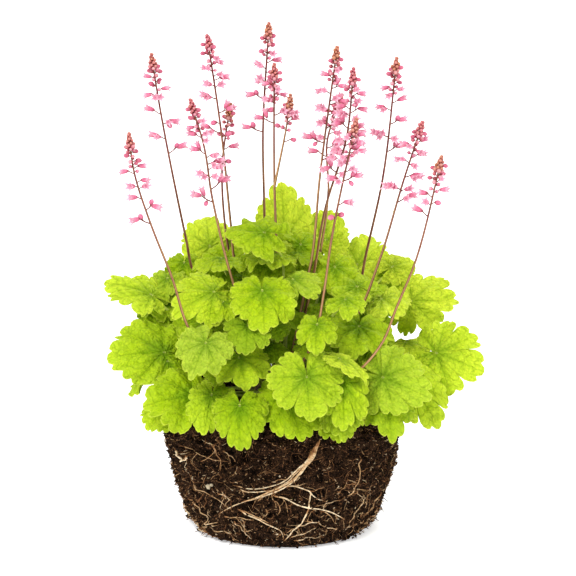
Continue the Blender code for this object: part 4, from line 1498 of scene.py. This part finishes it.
for seed, (name, (pale, strands)) in enumerate(nodeRoots.items(), 700):
    rng = np.random.default_rng(seed)
    piece = Piece(name.replace("root_", "strand_"))
    parents = [
        addRoot(piece, *strand, pale + rng.uniform(-0.1, 0.08), rng, 8, 0.4) for strand in strands
    ]
    addRootlets(piece, parents, 3, rng)
    piece.make((rootStraw,), (name,), sharp=180)


def growSideRoots():
    # the front roots by their table, and others at random all round, more of them low down
    rng = np.random.default_rng(720)
    piece = Piece("side_roots")
    parents = [addRoot(piece, *root, rng) for root in frontRoots]
    for _ in range(rootShape["sideRoots"]):
        bearing = rng.uniform(*rootShape["sideBearings"])
        height = 8 + 80 * rng.random() ** 1.5
        spread = rng.uniform(8, 34) * rng.choice([-1, 1])
        fall = rng.uniform(-22, 12)
        route = []
        for t in (0, 0.3, 0.65, 1):
            place = bearing + spread * t + rng.uniform(-2, 2)
            route.append((place, np.clip(height + fall * t + rng.uniform(-4, 4), 4, 102)))
        thick = 0.3 + 0.5 * rng.random() ** 2
        radii, lift = (thick, thick * 0.5), 0.7 * thick + 0.3
        parents.append(addRoot(piece, route, radii, lift, rng.uniform(0.5, 0.95), rng, 6))
    addRootlets(piece, parents, 1, rng)
    piece.make((rootStraw,), sharp=180)


growSideRoots()


# how many of each, their lengths and radii in mm, and how far they bow out
fibres = {
    "flecks": {
        "count": 3800, "points": 4, "lengths": (0.8, 3.4), "radii": (0.16, 0.40), "lifts": (0.2, 1.8),
    },
    "hairs": {
        "count": 850, "points": 6, "lengths": (5.0, 17.0), "radii": (0.10, 0.22), "lifts": (0.2, 1.4),
    },
    "whiskers": {"count": 1450, "points": 5, "lengths": (1.6, 6.0), "radii": (0.2, 0.45)},
    "longWhiskers": {"count": 34, "lengths": (5.0, 11.0), "radii": (0.3, 0.55)},   # stem and bead
}


def curlyPaths(look, rng):
    # lines that start anywhere on the side and wander over it in their own direction, bowing
    # out from it by their own lift. Also gives their first heights, their radii, and a share
    # that is 1 at both ends and 0 halfway
    count, steps = look["count"], look["points"]
    bearing = rng.uniform(0, 360, count)
    height = 2 + 104 * rng.random(count) ** 0.9
    length = rng.uniform(*look["lengths"], count)[:, None]
    aim = rng.uniform(0, math.tau, count)
    bend = rng.uniform(-1.7, 1.7, count)
    t = np.linspace(0, 1, steps)[None]
    heading = aim[:, None] + bend[:, None] * t
    across = np.cumsum(np.cos(heading), axis=1) * length / steps
    climb = np.cumsum(np.sin(heading), axis=1) * length / steps
    bearings = bearing[:, None] + np.degrees(across / 85.0)
    heights = np.clip(height[:, None] + climb, 0.8, 106.0)
    lift = rng.uniform(*look["lifts"], count)[:, None]
    lift = lift * np.sin(math.pi * t * rng.uniform(0.5, 1.0, (count, 1)))
    paths = ballSurface(bearings, heights, lift + rng.uniform(-0.4, 0.3, count)[:, None])
    return paths, height, rng.uniform(*look["radii"], count)[:, None], np.abs(2 * t - 1) ** 2


def addFibres(piece, paths, thick, pale, reference):
    points, quads, tris, along = tubes(paths, thick, 3, reference)
    pale = np.repeat(pale, len(points) // len(paths))
    piece.add(points, quads, tris, 0, rootTone=threes(pale, along))


def growFibres():
    # the skin of the ball: short brown flecks, longer pale hair roots that are paler low down,
    # whiskers that stand straight out and a few long ones with a bead of soil at the end
    rng = np.random.default_rng(740)
    piece = Piece("soil_fibres")
    paths, _, radii, ends = curlyPaths(fibres["flecks"], rng)
    pale = 0.08 + 0.85 * rng.random(len(paths)) ** 1.9
    addFibres(piece, paths, radii * (1 - 0.45 * ends), pale, outFromAxis(paths))
    paths, height, radii, ends = curlyPaths(fibres["hairs"], rng)
    pale = rng.uniform(0.3, 0.75, len(paths)) + 0.3 * (0.5 - height / 106)
    addFibres(piece, paths, radii * (1 - 0.5 * ends), np.clip(pale, 0.2, 0.95), outFromAxis(paths))
    look, longLook = fibres["whiskers"], fibres["longWhiskers"]
    count = look["count"] + longLook["count"]
    long = np.arange(count) >= look["count"]
    bearing = rng.uniform(0, 360, count)
    height = np.where(long, rng.uniform(30, 100, count), 1.5 + 103 * rng.random(count) ** 1.5)
    longest = rng.uniform(*longLook["lengths"], count)
    least, most = look["lengths"]
    length = np.where(long, longest, least + (most - least) * rng.random(count) ** 1.6)[:, None]
    base = ballSurface(bearing, height, -0.8)
    out = outFromAxis(base)
    side = threes(-out[:, 1], out[:, 0])
    lean = side * rng.uniform(-0.9, 0.9, count)[:, None]
    direction = unit(out + lean + upward * rng.uniform(-0.9, 0.5, count)[:, None])
    t = np.linspace(0, 1, look["points"])[None]
    paths = base[:, None] + direction[:, None] * (length * t)[..., None]
    paths[..., 2] = np.maximum(paths[..., 2] - 0.3 * length * t**2, 0.4)
    radii = np.where(long, longLook["radii"][0], rng.uniform(*look["radii"], count))
    thick = radii[:, None] * (1 - 0.5 * t)
    thick[long, -2:] = longLook["radii"][1]
    reference = np.cross(direction, side + [0, 0, 0.01])[:, None]
    addFibres(piece, paths, thick, rng.uniform(0.04, 0.4, count), reference)
    piece.make((rootStraw,), sharp=180)


growFibres()


crumbs = {
    "count": 1100,
    "grit": 420,             # how many of them are fine and pale
    "gritSize": (0.35, 0.8),
    # chips and grit in the front of the soil: bearing, height and size
    "chips": ((-130.5, 50.5, 2.3), (-129, 52, 1.5), (-91, 66, 0.8), (-85, 68, 0.9), (-84, 66, 0.7)),
}


def growCrumbs():
    # loose crumbs half sunk in the side and lying on the top: small knobbly balls
    rng = np.random.default_rng(760)
    count, grit = crumbs["count"], crumbs["grit"]
    chipBearing, chipHeight, chipSize = np.array(crumbs["chips"]).T
    bearing = np.append(rng.uniform(0, 360, count), chipBearing)
    height = np.append(1.0 + 105 * rng.random(count) ** 1.4, chipHeight)
    rise = np.append(rng.uniform(-0.7, 0.5, count), chipSize * 0.4 + 0.4)
    origins = ballSurface(bearing, height, rise)
    sizes = np.append(0.5 + 1.7 * rng.random(count) ** 2.2, chipSize)
    sizes[:grit] = rng.uniform(*crumbs["gritSize"], grit)
    count = len(sizes)
    origins[:, 2] = np.maximum(origins[:, 2], sizes * 1.1)
    shape, quads, tris = crumbShape
    copies = placeShapes(shape, origins, rng.normal(size=(count, 3)), sizes)
    copies = copies + (rng.random(copies.shape) - 0.5) * 0.5 * sizes[:, None, None]
    copies[..., 2] = np.maximum(copies[..., 2], 0.05)
    dark = rng.uniform(0, 0.5, count)
    pale = np.zeros(count)
    pale[:grit] = 0.15 + 0.6 * rng.random(grit) ** 2.5
    pale[-len(chipSize):] = 0.9
    size = len(shape)
    piece = Piece("soil_crumbs")
    piece.add(
        copies.reshape(-1, 3), *copied(count, size, quads, tris), 0,
        soilTone=threes(np.repeat(dark, size), np.repeat(pale, size)),
    )
    piece.make((rootedSoil,), sharp=180)


growCrumbs()
print("roots, fibres and crumbs made")


# Floor, lights and camera

studio = {
    "floorColour": (0.92, 0.92, 0.92),
    "floorReach": 14.0,
    "floorGlow": 0.40,        # light of its own, which keeps its shadows pale
    "worldLight": 0.60,
    # each light's strength, and the way its light travels
    "lights": {
        "key_light": (2.6, (0.48, 0.78, -0.95)),
        "back_light": (1.6, (-0.3, -0.9, -1.0)),
        "fill_light": (1.0, (-0.75, 0.45, -0.6)),
    },
    "lightSpread": 32.0,      # degrees across, which softens the shadows
    "cameraPlace": (0.0048, -1.9563, 0.6113),
    "cameraTarget": (0.0048, 0.0, 0.1955),
    "lensMm": 156.25,
    "sensorMm": 36.0,
}


def aimed(direction):
    # turns about X then Z that point an object's -Z along the direction
    x, y, z = direction
    return math.atan2(math.hypot(x, y), -z), 0.0, math.atan2(-x, y)


def addObject(name, data):
    # for the studio alone: pieces are made by the class above
    thing = bpy.data.objects.new(name, data)
    bpy.context.scene.collection.objects.link(thing)
    return thing


def makeFloor():
    # a wide pale sheet at the height of the resting face
    material, tree = newMaterial("paleFloor")
    colour = studio["floorColour"]
    colour = blend(tree, mottled(tree, 3.0), [c * 0.995 for c in colour], colour)
    glow = {"Emission_Color": (1, 1, 1, 1), "Emission_Strength": studio["floorGlow"]}
    setShader(tree, colour, 0.9, 0.1, **glow)
    mesh = bpy.data.meshes.new("studio_floor")
    reach = studio["floorReach"]
    corners = [(x * reach, y * reach, 0) for x, y in ((-1, -1), (1, -1), (1, 1), (-1, 1))]
    mesh.from_pydata(corners, [], [(0, 1, 2, 3)])
    mesh.materials.append(material)
    floor = addObject("studio_floor", mesh)


def makeStudio():
    scene = bpy.context.scene
    world = bpy.data.worlds.new("studioWorld")
    world.use_nodes = True
    light = {"Color": (1, 1, 1, 1), "Strength": studio["worldLight"]}
    join(world.node_tree, world.node_tree.nodes["Background"], light)
    scene.world = world
    scene.view_settings.view_transform = "Standard"
    # far, wide lamps, which keep their strength over the floor
    for name, (strength, travels) in studio["lights"].items():
        lamp = bpy.data.lights.new(name, "SUN")
        lamp.energy = strength
        lamp.angle = math.radians(studio["lightSpread"])
        addObject(name, lamp).rotation_euler = aimed(travels)
    data = bpy.data.cameras.new("studio_camera")
    data.lens = studio["lensMm"]
    data.sensor_width = studio["sensorMm"]
    data.dof.use_dof = False
    camera = addObject("studio_camera", data)
    camera.location = studio["cameraPlace"]
    camera.rotation_euler = aimed(np.subtract(studio["cameraTarget"], studio["cameraPlace"]))
    scene.camera = camera


makeFloor()
makeStudio()
print("studio made")
